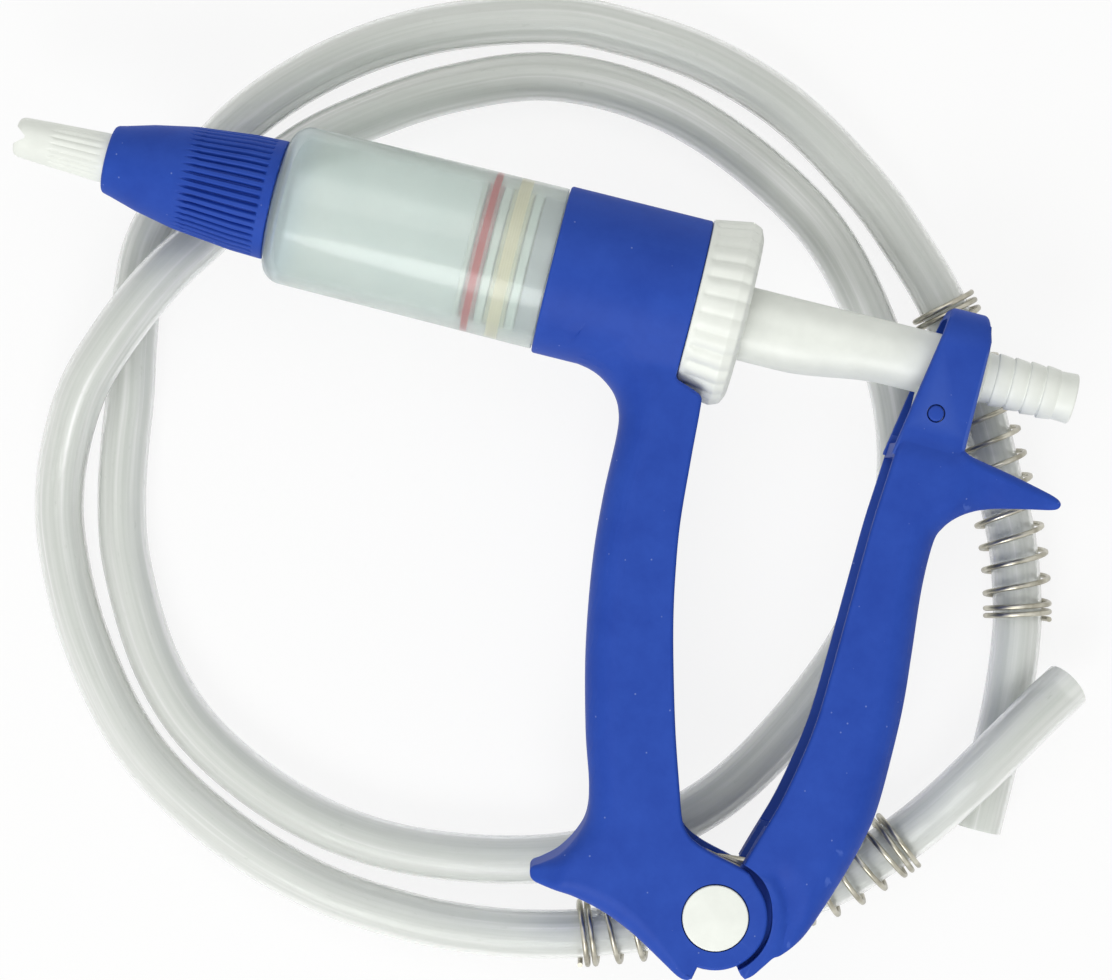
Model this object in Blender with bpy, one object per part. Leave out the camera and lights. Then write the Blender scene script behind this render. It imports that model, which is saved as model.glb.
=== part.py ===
"""Pour-on applicator: a squeeze-grip dosing gun lying on its own loosely wound feed hose.

Lengths below are in millimetres and MM turns them into metres. The gun is drawn round its own middle plane (z = 0 there) in
a frame whose z axis is the lever's hinge: x runs along the barrel to the rear, y from the hinge up to the barrel. An empty
lifts that plane to where the outer face of the upper hinge cap is the origin of the scene.
"""

import math

import bmesh
import bpy
from mathutils import Vector

for old in list(bpy.data.objects):
    bpy.data.objects.remove(old, do_unlink=True)

MM = 0.001
TAU = 2.0 * math.pi

# Driving dimensions
GAP = 0.3
GRIP_HALF = 14.5
CAP_PROUD = 0.4
REST_HEIGHT = 32.0
BARREL_Y = 140.2
WALL = 2.6

BOSS_RADIUS = 12.4
CHEEK_INNER = 10.5
LUG_RADIUS = 11.5
LUG_OUTER = CHEEK_INNER - GAP
LUG_INNER = 7.2
COIL_WIRE = 1.0
COIL_RADIUS = 12.6
SLOT_RADIUS = COIL_RADIUS + COIL_WIRE + 0.4
PIN_RADIUS = 4.0
HINGE_CAP_RADIUS = 7.8
HINGE_CAP_SEAT = 1.6

RING_FRONT = -74.9
RING_REAR = -39.9
RING_PROUD = 0.8
RING_LIP = 3.3
BARREL_RADIUS = 19.7
BARREL_TAPER = 0.5
BARREL_WALL = 2.1
BARREL_SHOULDER = -142.7
SPIGOT_STEP = 0.8
SPIGOT_LENGTH = 12.1
NECK_RADIUS = 11.4
NECK_WALL = 3.9
NECK_LENGTH = 15.9
CAP_LENGTH = 42.3
CAP_WALL = 3.1
CAP_LIP = 2.9
NOZZLE_LENGTH = 22.7
NOZZLE_RADIUS = 6.1
VALVE_TRAVEL = 1.5

RING_RADIUS = BARREL_RADIUS + RING_PROUD
BORE_RADIUS = BARREL_RADIUS - BARREL_WALL
SPIGOT_RADIUS = BARREL_RADIUS - SPIGOT_STEP
BARREL_REAR = RING_FRONT - GAP + SPIGOT_LENGTH
LIP_RADIUS = BORE_RADIUS - 1.8
LIP_FRONT = RING_REAR - RING_LIP
NECK_END = BARREL_SHOULDER - NECK_LENGTH
CAP_REAR = BARREL_SHOULDER - GAP
CAP_FRONT = CAP_REAR - CAP_LENGTH
NOZZLE_TIP = CAP_FRONT - NOZZLE_LENGTH

PISTON_REAR = -80.4
SEAL_GROOVE = 4.0
GUIDE_GROOVE = 5.5
SEAL_DEPTH = 4.0
GUIDE_DEPTH = 3.4

NUT_FRONT = RING_REAR + GAP
NUT_LENGTH = 12.4
NUT_REAR = NUT_FRONT + NUT_LENGTH
NUT_PROUD = 2.9
NUT_RADIUS = BARREL_RADIUS + NUT_PROUD
SLEEVE_RADIUS = 12.0
SLEEVE_FLANGE = 5.1
SLEEVE_REAR = -40.0
ROD_RADIUS = 7.55
ROD_KEEL = 2.9
ROD_BORE = 4.3
BARB_RADIUS = 6.2
BARB_START = 31.8
BARB_LENGTH = 22.4
RIDGE_PITCH = 3.93

YOKE_HALF = 13.5
YOKE_INNER = 10.7
YOKE_TOP = 154.3
YOKE_PIN_X = 21.83
YOKE_PIN_Y = 128.35
YOKE_PIN_RADIUS = 1.9

HOSE_RADIUS = 6.0
SPRING_RADIUS = 8.5
SPRING_WIRE = 0.65
SPRING_PITCH = 6.1

MID = -(GRIP_HALF + CAP_PROUD)
FLOOR = MID - REST_HEIGHT


def plastic(name, colour, roughness=0.45, metallic=0.0, transmission=0.0):
    """A Principled material of one colour."""
    made = bpy.data.materials.new(name)
    made.use_nodes = True
    shader = made.node_tree.nodes["Principled BSDF"]
    shader.inputs["Base Color"].default_value = (*colour, 1.0)
    shader.inputs["Roughness"].default_value = roughness
    shader.inputs["Metallic"].default_value = metallic
    shader.inputs["Transmission Weight"].default_value = transmission
    made.diffuse_color = (*colour, 1.0)
    return made


blue = (0.045, 0.105, 0.46)
white = (0.80, 0.84, 0.80)
steel = (0.36, 0.34, 0.31)

gun_origin = bpy.data.objects.new("gun_origin", None)
gun_origin.location = (0.0, 0.0, MID * MM)
bpy.context.scene.collection.objects.link(gun_origin)
barrel_axis = bpy.data.objects.new("barrel_axis", None)
barrel_axis.parent = gun_origin
barrel_axis.location = (0.0, BARREL_Y * MM, 0.0)
bpy.context.scene.collection.objects.link(barrel_axis)


def solid(name, mesh, parent, material=None):
    """One closed object from a bmesh in millimetres. With no material it is a hidden helper of a Boolean."""
    bmesh.ops.remove_doubles(mesh, verts=mesh.verts, dist=0.0005)
    bmesh.ops.recalc_face_normals(mesh, faces=mesh.faces)
    bmesh.ops.scale(mesh, vec=(MM, MM, MM), verts=mesh.verts)
    data = bpy.data.meshes.new(name)
    mesh.to_mesh(data)
    mesh.free()
    made = bpy.data.objects.new(name, data)
    made.parent = parent
    bpy.context.scene.collection.objects.link(made)
    if material is None:
        made.hide_render = True
        made.display_type = "WIRE"
    else:
        data.materials.append(material)
    return made


def combine(target, helper, operation):
    """A Boolean of target with a helper object."""
    change = target.modifiers.new(f"{operation.lower()}_{helper.name}", "BOOLEAN")
    change.operation = operation
    change.solver = "EXACT"
    change.object = helper


def cut(target, *helpers):
    for helper in helpers:
        combine(target, helper, "DIFFERENCE")


def join(target, *helpers):
    for helper in helpers:
        combine(target, helper, "UNION")


def rounded(corners, steps=3):
    """Closed path through corner points (a, b) or (a, b, radius), with the radii drawn in."""
    path = []
    count = len(corners)
    for index, corner in enumerate(corners):
        here = Vector(corner[:2])
        if len(corner) < 3:
            path.append((here.x, here.y))
            continue
        radius = corner[2]
        back = (Vector(corners[index - 1][:2]) - here).normalized()
        ahead = (Vector(corners[(index + 1) % count][:2]) - here).normalized()
        half = back.angle(ahead) / 2.0
        centre = here + (back + ahead).normalized() * (radius / math.sin(half))
        start = here + back * (radius / math.tan(half)) - centre
        end = here + ahead * (radius / math.tan(half)) - centre
        sweep = start.angle(end)
        for step in range(steps + 1):
            part = step / steps
            arm = start * math.sin((1.0 - part) * sweep) + end * math.sin(part * sweep)
            arm = centre + arm / math.sin(sweep)
            path.append((arm.x, arm.y))
    return path


def turned(name, profile, segments, parent, material=None, axis="x", at=(0.0, 0.0), lobes=0):
    """Revolves a closed profile of (along, radius) points. A third value in a point is the depth of the valleys between
    the lobes at that point. at is the axis position across the axis."""
    mesh = bmesh.new()
    turned_along = 0 if axis == "x" else 2
    rings = []
    for point in profile:
        along, radius = point[:2]
        depth = point[2] if len(point) > 2 else 0.0
        ring = []
        for index in range(segments if radius > 0.001 else 1):
            angle = TAU * index / segments
            reach = radius - depth * (1.0 - abs(math.cos(lobes * angle / 2.0)))
            across = (reach * math.cos(angle) + at[0], reach * math.sin(angle) + at[1])
            place = (along, *across) if axis == "x" else (*across, along)
            ring.append(mesh.verts.new(place))
        rings.append(ring)
    for first, second in zip(rings, rings[1:] + rings[:1]):
        if len(first) == 1 and len(second) == 1:
            continue
        if 1 in (len(first), len(second)) and len({round(vertex.co[turned_along], 4) for vertex in first + second}) == 1:
            mesh.faces.new(max(first, second, key=len))
            continue
        for index in range(segments):
            after = (index + 1) % segments
            corners = [first[index % len(first)], first[after % len(first)]]
            corners += [second[after % len(second)], second[index % len(second)]]
            mesh.faces.new(list(dict.fromkeys(corners)))
    loose = [vertex for vertex in mesh.verts if not vertex.link_faces]
    bmesh.ops.delete(mesh, geom=loose, context="VERTS")
    return solid(name, mesh, parent, material)


def layered(name, layers, parent, material=None):
    """Closed skin through rings of equally many points, with a flat face on each end."""
    mesh = bmesh.new()
    rings = [[mesh.verts.new(place) for place in layer] for layer in layers]
    for first, second in zip(rings, rings[1:]):
        for index in range(len(first)):
            after = (index + 1) % len(first)
            mesh.faces.new((first[index], first[after], second[after], second[index]))
    mesh.faces.new(rings[0])
    mesh.faces.new(list(reversed(rings[-1])))
    return solid(name, mesh, parent, material)


def plate(name, outline, low, high, parent, material=None):
    """A flat plate with this outline in x and y between two heights."""
    layers = [[(x, y, z) for x, y in outline] for z in (low, high)]
    return layered(name, layers, parent, material)


def stroke(points, steps=3):
    """A smooth line through points (x, y, edge radius), as more points."""
    ends = [points[0]] + list(points) + [points[-1]]
    line = []
    for index in range(1, len(ends) - 2):
        before, first, second, after = (Vector(ends[index + shift]) for shift in (-1, 0, 1, 2))
        for step in range(steps):
            t = step / steps
            value = first + (second - before) * (t / 2.0)
            value += (before * 2.0 - first * 5.0 + second * 4.0 - after) * (t * t / 2.0)
            value += (first * 3.0 - before - second * 3.0 + after) * (t**3 / 2.0)
            line.append(value)
    line.append(Vector(points[-1]))
    return line


def arc(radius, start, end, steps, edge, centre=(0.0, 0.0)):
    """Points (x, y, edge radius) on a circle, angles in degrees."""
    line = []
    for step in range(steps + 1):
        angle = math.radians(start + (end - start) * step / steps)
        line.append(Vector((centre[0] + radius * math.cos(angle), centre[1] + radius * math.sin(angle), edge)))
    return line


def cushion(name, outline, half, parent, material=None, taper=None, levels=(), steps=2):
    """A plate with this outline, half thick on each side, whose edges are rounded by the radius in each outline point.
    levels are planes ("x" or "y", value) that split its skin, so that taper(x, y) can scale the thickness there."""
    count = len(outline)
    inward = []
    turning = sum(
        outline[i - 1].x * outline[i].y - outline[i].x * outline[i - 1].y for i in range(count)
    )
    side = 1.0 if turning > 0.0 else -1.0
    for index, here in enumerate(outline):
        back = (here.xy - outline[index - 1].xy).normalized()
        ahead = (outline[(index + 1) % count].xy - here.xy).normalized()
        first = Vector((-back.y, back.x)) * side
        second = Vector((-ahead.y, ahead.x)) * side
        normal = (first + second).normalized()
        inward.append(normal / max(0.6, normal.dot(first)))
    layers = []
    for sign in (1.0, -1.0):
        rows = []
        for step in range(steps + 1):
            angle = math.radians(90.0 * step / steps)
            row = []
            for here, normal in zip(outline, inward):
                inset = here.xy + normal * (here.z * (1.0 - math.cos(angle)))
                row.append((inset.x, inset.y, sign * (half - here.z * (1.0 - math.sin(angle)))))
            rows.append(row)
        layers += list(reversed(rows)) if sign > 0.0 else rows
    made = layered(name, layers, parent, material)
    if taper is None:
        return made
    mesh = bmesh.new()
    mesh.from_mesh(made.data)
    for direction, value in levels:
        normal = (1.0, 0.0, 0.0) if direction == "x" else (0.0, 1.0, 0.0)
        place = tuple(value * MM * part for part in normal)
        parts = mesh.verts[:] + mesh.edges[:] + mesh.faces[:]
        bmesh.ops.bisect_plane(mesh, geom=parts, dist=1e-7, plane_co=place, plane_no=normal)
    for vertex in mesh.verts:
        vertex.co.z *= taper(vertex.co.x / MM, vertex.co.y / MM)
    mesh.to_mesh(made.data)
    mesh.free()
    return made


def wire(name, points, radius, resolution, parent, material):
    """One unbroken tube along points, with closed ends."""
    curve = bpy.data.curves.new(name, "CURVE")
    curve.dimensions = "3D"
    curve.bevel_depth = radius * MM
    curve.bevel_resolution = resolution
    curve.use_fill_caps = True
    line = curve.splines.new("POLY")
    line.points.add(len(points) - 1)
    for place, point in zip(line.points, points):
        place.co = (point[0] * MM, point[1] * MM, point[2] * MM, 1.0)
    curve.materials.append(material)
    made = bpy.data.objects.new(name, curve)
    made.parent = parent
    bpy.context.scene.collection.objects.link(made)
    return made


def step_between(value, low, high):
    return min(1.0, max(0.0, (value - low) / (high - low)))


# Handle frame: front handle with its finger stop, hinge cheeks, and the ring round the barrel.
handle_left = stroke(
    [
        (-73.0, 125.5, 6.0),
        (-68.0, 121.2, 9.0),
        (-63.8, 119.9, 11.5),
        (-60.2, 119.2, 12.0),
        (-56.8, 117.8, 11.5),
        (-53.2, 115.0, 10.5),
        (-51.0, 111.2, 9.5),
        (-50.0, 105.5, 8.5),
        (-49.6, 90.0, 7.5),
        (-48.2, 73.6, 7.5),
        (-44.8, 53.5, 7.5),
        (-40.1, 34.7, 7.5),
        (-36.3, 22.8, 7.5),
        (-35.1, 16.0, 7.0),
        (-36.2, 11.0, 6.0),
        (-39.2, 5.6, 3.6),
        (-42.9, 2.3, 1.9),
        (-44.8, 1.0, 1.2),
        (-45.1, -0.6, 1.0),
        (-43.7, -2.3, 1.2),
        (-39.0, -3.0, 2.6),
        (-33.3, -3.6, 4.4),
        (-25.4, -5.6, 5.0),
        (-17.5, -8.9, 4.5),
        (-9.6, -13.3, 3.0),
        (-5.4, -15.6, 1.8),
        (-3.2, -16.0, 1.2),
        (-1.9, -15.3, 0.8),
    ],
    1,
)
handle_boss = arc(BOSS_RADIUS, -96.0, 50.0, 14, 0.8) + arc(BOSS_RADIUS + 0.8, 66.0, 78.0, 2, 0.8)
handle_right = stroke(
    [
        (0.0, 13.6, 0.8),
        (-4.9, 14.8, 0.8),
        (-8.9, 16.3, 1.0),
        (-11.4, 18.1, 1.0),
        (-13.4, 21.2, 1.0),
        (-15.7, 28.0, 1.0),
        (-19.7, 40.3, 1.0),
        (-23.6, 54.1, 1.0),
        (-26.6, 65.9, 1.0),
        (-28.8, 76.8, 1.0),
        (-30.6, 88.6, 1.0),
        (-31.8, 104.3, 1.0),
        (-32.5, 115.6, 1.0),
        (-33.1, 118.8, 1.0),
        (-36.0, 120.2, 1.0),
        (-39.2, 121.3, 0.8),
    ],
    1,
)
ring_edge = RING_REAR - 0.03
handle_top = [
    Vector((ring_edge, 122.2, 0.5)),
    Vector((ring_edge, BARREL_Y + 6.0, 0.5)),
    Vector((-73.0, BARREL_Y + 6.0, 1.0)),
]


def ring_flow(x, y):
    """Thickness of the handle, as a part of its thickness at the grip: its cheeks swell in a soft curve to just under
    the ring's round skin."""
    skin = math.sqrt(max(0.0, (RING_RADIUS - 0.2) ** 2 - (BARREL_Y - y) ** 2))
    near = max(0.0, 4.0 - abs(GRIP_HALF - skin)) / 4.0
    return (max(GRIP_HALF, skin) + near * near) / GRIP_HALF


handle_frame = cushion(
    "handle_frame",
    handle_left + handle_boss + handle_right + handle_top,
    GRIP_HALF,
    gun_origin,
    plastic("handle_blue", blue),
    ring_flow,
    [("y", BARREL_Y + value) for value in (-17.4, -15.9, -14.4, -12.9, -11.0, -7.0, 0.0)],
)
channel_floor = [
    (-46.6, 113.5, 0.6),
    (-47.2, 104.0, 4.5),
    (-46.9, 88.7, 4.5),
    (-45.5, 73.9, 4.5),
    (-41.9, 53.0, 4.5),
    (-37.3, 34.7, 4.5),
    (-33.6, 22.8, 4.5),
    (-32.4, 15.5, 4.0),
    (-33.4, 9.6, 3.0),
    (-36.0, 4.6, 2.0),
    (-37.2, 1.6, 1.2),
    (-34.5, -0.2, 1.2),
    (-29.0, -1.4, 2.0),
    (-21.0, -4.2, 2.0),
]
channel_open = [(-17.5, -4.6, 0.6), (-16.6, 4.0, 0.6), (-12.8, 11.0, 0.6), (-3.0, 18.2, 0.6), (3.0, 21.0, 0.6)]
channel_open += [(3.0, 60.0, 0.6), (-8.0, 113.5, 0.6)]
handle_channel = cushion(
    "handle_channel", stroke(channel_floor, 1) + [Vector(place) for place in channel_open], GRIP_HALF - WALL, gun_origin
)
slot = turned(
    "coil_slot",
    [(-CHEEK_INNER, 0.0), (-CHEEK_INNER, SLOT_RADIUS), (CHEEK_INNER, SLOT_RADIUS), (CHEEK_INNER, 0.0)],
    36,
    gun_origin,
    axis="z",
)
throat = plate(
    "throat",
    [(-24.0, -2.6), (-12.0, -6.2), (0.0, -6.2), (18.0, -5.0), (18.0, 23.0), (-24.0, 23.0)],
    -CHEEK_INNER,
    CHEEK_INNER,
    gun_origin,
)
ring_wall = turned(
    "ring_wall",
    rounded(
        [
            (RING_FRONT, SPIGOT_RADIUS + GAP),
            (RING_FRONT, RING_RADIUS, 0.6),
            (RING_REAR, RING_RADIUS, 0.6),
            (RING_REAR, LIP_RADIUS),
            (LIP_FRONT, LIP_RADIUS),
            (LIP_FRONT, BORE_RADIUS - 0.1),
            (BARREL_REAR + 3.1, BORE_RADIUS - 0.1),
            (BARREL_REAR + 3.1, BORE_RADIUS - 1.6),
            (BARREL_REAR + GAP, BORE_RADIUS - 1.6),
            (BARREL_REAR + GAP, SPIGOT_RADIUS + GAP),
        ],
        1,
    ),
    44,
    barrel_axis,
)
core_radius = SPIGOT_RADIUS + GAP + 0.15
ring_core = turned(
    "ring_core", [(-90.0, 0.0), (-90.0, core_radius), (-30.0, core_radius), (-30.0, 0.0)], 44, barrel_axis
)
nut_room = turned(
    "nut_room",
    [(RING_REAR + 0.05, 0.0), (RING_REAR + 0.05, NUT_RADIUS + 0.5), (-20.0, NUT_RADIUS + 0.5), (-20.0, 0.0)],
    48,
    barrel_axis,
)
cap_seat = GRIP_HALF - HINGE_CAP_SEAT
hinge_hole = turned(
    "hinge_hole",
    [
        (-20.0, 0.0),
        (-20.0, HINGE_CAP_RADIUS + GAP),
        (-cap_seat, HINGE_CAP_RADIUS + GAP),
        (-cap_seat, PIN_RADIUS + GAP),
        (cap_seat, PIN_RADIUS + GAP),
        (cap_seat, HINGE_CAP_RADIUS + GAP),
        (20.0, HINGE_CAP_RADIUS + GAP),
        (20.0, 0.0),
    ],
    24,
    gun_origin,
    axis="z",
)
cut(handle_frame, ring_core, nut_room, handle_channel, throat, slot, hinge_hole)
join(handle_frame, ring_wall)

# Trigger lever: rear handle with hand spur, hinge lugs and the yoke over the rod.
lever_left = stroke(
    [
        (3.4, 13.2, 0.8),
        (5.3, 19.7, 1.0),
        (8.3, 29.5, 1.0),
        (10.4, 39.4, 1.0),
        (11.9, 49.2, 1.0),
        (12.5, 59.0, 1.0),
        (13.0, 78.7, 1.0),
        (13.5, 98.4, 1.0),
        (14.1, 108.2, 1.0),
        (15.0, 121.8, 1.0),
    ],
    1,
)
lever_spur = stroke(
    [
        (30.4, 121.6, 1.2),
        (32.4, 120.6, 1.6),
        (35.5, 120.0, 2.2),
        (42.0, 118.9, 2.4),
        (50.4, 117.2, 2.0),
        (54.8, 116.1, 1.4),
        (56.4, 115.0, 1.0),
        (56.2, 113.7, 1.0),
        (54.6, 112.9, 1.4),
        (50.4, 112.0, 2.2),
        (45.4, 110.9, 3.0),
        (40.4, 109.6, 4.0),
        (36.5, 108.0, 5.0),
        (33.0, 105.6, 6.0),
        (30.5, 102.5, 7.0),
        (29.2, 98.5, 7.5),
        (29.2, 87.3, 7.5),
        (30.6, 72.0, 7.5),
        (31.6, 60.5, 7.5),
        (31.9, 49.4, 7.5),
        (31.6, 33.8, 7.5),
        (29.9, 24.2, 7.5),
        (26.9, 14.0, 7.0),
        (22.6, 2.4, 5.0),
        (19.8, -2.2, 2.5),
        (17.2, -5.0, 1.2),
        (15.6, -6.0, 0.8),
        (14.0, -8.2, 0.8),
        (12.0, -11.0, 0.8),
        (10.3, -12.4, 0.8),
    ],
    1,
)
lever_foot = [Vector((9.1, -11.7, 0.6)), Vector((8.0, -10.4, 0.4))]
lever_lug = arc(LUG_RADIUS, -56.0, -282.0, 18, 0.4)


def lever_taper(x, y):
    """Thickness of the lever, as a part of its thickness at the grip: the spur thins to its tip."""
    return 1.0 - 0.30 * step_between(x, 32.0, 40.0) - 0.42 * step_between(x, 40.0, 57.0)


lever = cushion(
    "trigger_lever",
    lever_left + lever_spur + lever_foot + lever_lug,
    GRIP_HALF,
    gun_origin,
    plastic("lever_blue", blue),
    lever_taper,
    [("x", value) for value in (32.0, 36.0, 40.0, 48.0)],
)


def boss_room(name, low, high):
    """Room round a hinge cheek, wider where the corner of the lever sweeps past the handle's edge."""
    outline = []
    for step in range(48):
        angle = TAU * step / 48 - math.pi
        wide = step_between(math.degrees(angle), 44.0, 54.0)
        radius = BOSS_RADIUS + 0.8 + 1.1 * wide
        outline.append((radius * math.cos(angle), radius * math.sin(angle)))
    return plate(name, outline, low, high, gun_origin)


lug_room_upper = boss_room("lug_room_upper", LUG_OUTER, 20.0)
lug_room_lower = boss_room("lug_room_lower", -20.0, -LUG_OUTER)
lever_coil_slot = turned(
    "lever_coil_slot",
    [(-LUG_INNER, 0.0), (-LUG_INNER, SLOT_RADIUS), (LUG_INNER, SLOT_RADIUS), (LUG_INNER, 0.0)],
    36,
    gun_origin,
    axis="z",
)
leg_room = plate(
    "leg_room",
    [(-6.0, 9.0), (8.0, 4.0), (18.5, 4.4), (21.6, 8.0), (24.0, 14.0), (25.6, 20.0), (26.6, 26.0), (-6.0, 26.0)],
    -LUG_INNER,
    LUG_INNER,
    gun_origin,
)
lever_floor = [
    (25.6, 23.5, 0.6),
    (28.2, 29.0, 4.5),
    (29.0, 35.0, 4.5),
    (29.3, 49.4, 4.5),
    (29.0, 60.5, 4.5),
    (28.0, 72.0, 4.5),
    (26.6, 87.3, 4.5),
    (26.4, 103.0, 4.5),
    (25.6, 116.0, 0.6),
]
lever_open = [Vector((-2.0, 116.0, 0.6)), Vector((-2.0, 23.5, 0.6))]
lever_channel = cushion("lever_channel", stroke(lever_floor, 1) + lever_open, GRIP_HALF - WALL, gun_origin)
web_top = 119.6
yoke_mouth = plate(
    "yoke_mouth",
    [(0.0, web_top), (44.0, web_top), (44.0, 126.0), (0.0, 126.0)],
    -(YOKE_INNER - 0.5),
    YOKE_INNER - 0.5,
    gun_origin,
)
lug_hole = turned(
    "lug_hole",
    [(-20.0, 0.0), (-20.0, PIN_RADIUS + GAP), (20.0, PIN_RADIUS + GAP), (20.0, 0.0)],
    24,
    gun_origin,
    axis="z",
)
cut(lever, lug_room_upper, lug_room_lower, lever_coil_slot, leg_room, lever_channel, yoke_mouth, lug_hole)


def yoke_layers():
    """The yoke's arch as rings of (z, y) points, its front and rear faces leaning as they do in the photograph."""
    foot = web_top - 3.0
    arch = [(YOKE_HALF, foot), (YOKE_HALF, YOKE_TOP, 9.5), (-YOKE_HALF, YOKE_TOP, 9.5), (-YOKE_HALF, foot)]
    top = YOKE_TOP - 2.8
    arch += [(-YOKE_INNER, foot), (-YOKE_INNER, top, 7.0), (YOKE_INNER, top, 7.0), (YOKE_INNER, foot)]
    path = rounded(arch, 4)
    rings = []
    for depth, inset in ((0.0, 1.1), (0.35, 0.35), (1.1, 0.0), (-1.1, 0.0), (-0.35, 0.35), (0.0, 1.1)):
        ring = []
        for index, (z, y) in enumerate(path):
            here = Vector((z, y))
            back = (here - Vector(path[index - 1])).normalized()
            ahead = (Vector(path[(index + 1) % len(path)]) - here).normalized()
            normal = Vector((-back.y, back.x)) + Vector((-ahead.y, ahead.x))
            normal.normalize()
            # Only the outer skin of the arch is rounded off at its front and rear edges.
            outer = abs(z) > YOKE_INNER + 0.5 or y > top + 0.5
            if outer:
                here = here + normal * inset
            front = 13.9 + (here.y - 116.6) * 0.168
            rear = 30.7 if here.y < 148.0 else 30.7 - 0.22 * (here.y - 148.0)
            x = front + depth if depth > 0.0 or (depth == 0.0 and not rings) else rear + depth
            ring.append((x, here.y, here.x))
        rings.append(ring)
    return rings


yoke_arch = layered("yoke_arch", yoke_layers(), gun_origin)
join(lever, yoke_arch)
pin_hole = turned(
    "yoke_pin_hole",
    [(-20.0, 0.0), (-20.0, YOKE_PIN_RADIUS + GAP), (20.0, YOKE_PIN_RADIUS + GAP), (20.0, 0.0)],
    16,
    gun_origin,
    axis="z",
    at=(YOKE_PIN_X, YOKE_PIN_Y),
)
cut(lever, pin_hole)
pin_end = YOKE_HALF - 0.1
turned(
    "yoke_pin",
    rounded(
        [(-pin_end, 0.0), (-pin_end, YOKE_PIN_RADIUS, 0.4), (pin_end, YOKE_PIN_RADIUS, 0.4), (pin_end, 0.0)], 1
    ),
    16,
    gun_origin,
    plastic("pin_blue", (0.06, 0.14, 0.52), 0.35),
    axis="z",
    at=(YOKE_PIN_X, YOKE_PIN_Y),
)

# Hinge: pin, its two press-in caps, and the torsion spring round it.
pin_half = cap_seat - GAP
peg_radius = 2.0
peg_length = 4.0
pin_profile = [
    (-pin_half, peg_radius + GAP),
    (-pin_half, PIN_RADIUS),
    (pin_half, PIN_RADIUS),
    (pin_half, peg_radius + GAP),
    (pin_half - peg_length - GAP, peg_radius + GAP),
    (pin_half - peg_length - GAP, 0.0),
    (-(pin_half - peg_length - GAP), 0.0),
    (-(pin_half - peg_length - GAP), peg_radius + GAP),
]
turned("hinge_pin", pin_profile, 16, gun_origin, plastic("pin_steel", (0.5, 0.5, 0.5), 0.3, 1.0), axis="z")
cap_white = plastic("cap_white", white, 0.4)
for side, label in ((1.0, "upper"), (-1.0, "lower")):
    under = side * (cap_seat + GAP)
    face = side * (GRIP_HALF + CAP_PROUD)
    profile = [
        (side * (pin_half - peg_length), 0.0),
        (side * (pin_half - peg_length), peg_radius),
        (under, peg_radius),
        (under, HINGE_CAP_RADIUS),
        (face - side * 0.3, HINGE_CAP_RADIUS),
        (face, HINGE_CAP_RADIUS - 0.3),
        (face, 0.0),
    ]
    turned(f"hinge_cap_{label}", profile, 24, gun_origin, cap_white, axis="z")

coil_turns = 4.0
coil_points = []
coil_start = math.radians(80.0)
coil_low = -5.5
coil_high = 5.5
handle_leg = 34.0
lever_leg = 17.0
coil_steps = 38
upper_way = Vector((math.cos(math.radians(170.0)), math.sin(math.radians(170.0))))
upper_foot = Vector((math.cos(coil_start), math.sin(coil_start))) * COIL_RADIUS
lower_angle = coil_start + math.radians(15.0)
lower_way = Vector((math.cos(math.radians(5.0)), math.sin(math.radians(5.0))))
lower_foot = Vector((math.cos(lower_angle), math.sin(lower_angle))) * COIL_RADIUS
tip = lower_foot + lower_way * lever_leg
coil_points.append((tip.x, tip.y, coil_low))
for step in range(coil_steps + 1):
    part = step / coil_steps
    angle = lower_angle + (TAU * coil_turns - math.radians(15.0)) * part
    coil_points.append(
        (COIL_RADIUS * math.cos(angle), COIL_RADIUS * math.sin(angle), coil_low + (coil_high - coil_low) * part)
    )
tip = upper_foot + upper_way * handle_leg
coil_points.append((tip.x, tip.y, coil_high))
wire("return_spring", coil_points, COIL_WIRE, 1, gun_origin, plastic("coil_steel", steel, 0.3, 1.0))

# Barrel and what closes its front.
barrel_profile = rounded(
    [
        (BARREL_REAR, BORE_RADIUS),
        (BARREL_REAR, SPIGOT_RADIUS),
        (RING_FRONT - GAP, SPIGOT_RADIUS),
        (RING_FRONT - GAP, BARREL_RADIUS),
        (BARREL_SHOULDER, BARREL_RADIUS - BARREL_TAPER, 5.0),
        (BARREL_SHOULDER, NECK_RADIUS),
        (NECK_END, NECK_RADIUS),
        (NECK_END, NECK_RADIUS - NECK_WALL),
        (BARREL_SHOULDER + 2.0, NECK_RADIUS - NECK_WALL),
        (BARREL_SHOULDER + 2.0, BORE_RADIUS, 3.4),
    ],
    2,
)
turned("barrel", barrel_profile, 36, barrel_axis, plastic("barrel_clear", (0.62, 0.72, 0.72), 0.2, 0.0, 0.6))
seal_front = NECK_END - 1.4
turned(
    "neck_seal",
    [
        (NECK_END - GAP, NECK_RADIUS - 3.0),
        (NECK_END - GAP, NECK_RADIUS - 0.4),
        (seal_front, NECK_RADIUS - 0.4),
        (seal_front, NECK_RADIUS - 3.0),
    ],
    18,
    barrel_axis,
    plastic("seal_black", (0.03, 0.03, 0.03), 0.6),
)
seat_rear = seal_front - GAP
seat_front = seat_rear - 1.8
turned(
    "outlet_seat",
    [(seat_rear, 4.0), (seat_rear, NECK_RADIUS), (seat_front, NECK_RADIUS), (seat_front, 4.0)],
    18,
    barrel_axis,
    plastic("seat_white", white),
)
valve_rear = seat_front - GAP
turned(
    "outlet_valve",
    [
        (valve_rear + 5.0, 0.0),
        (valve_rear + 5.0, 1.6),
        (valve_rear, 3.0),
        (valve_rear, 5.6),
        (valve_rear - 1.6, 5.6),
        (valve_rear - 2.2, 2.0),
        (valve_rear - 7.0, 1.6),
        (valve_rear - 7.0, 0.0),
    ],
    14,
    barrel_axis,
    plastic("valve_white", white),
)


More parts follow.
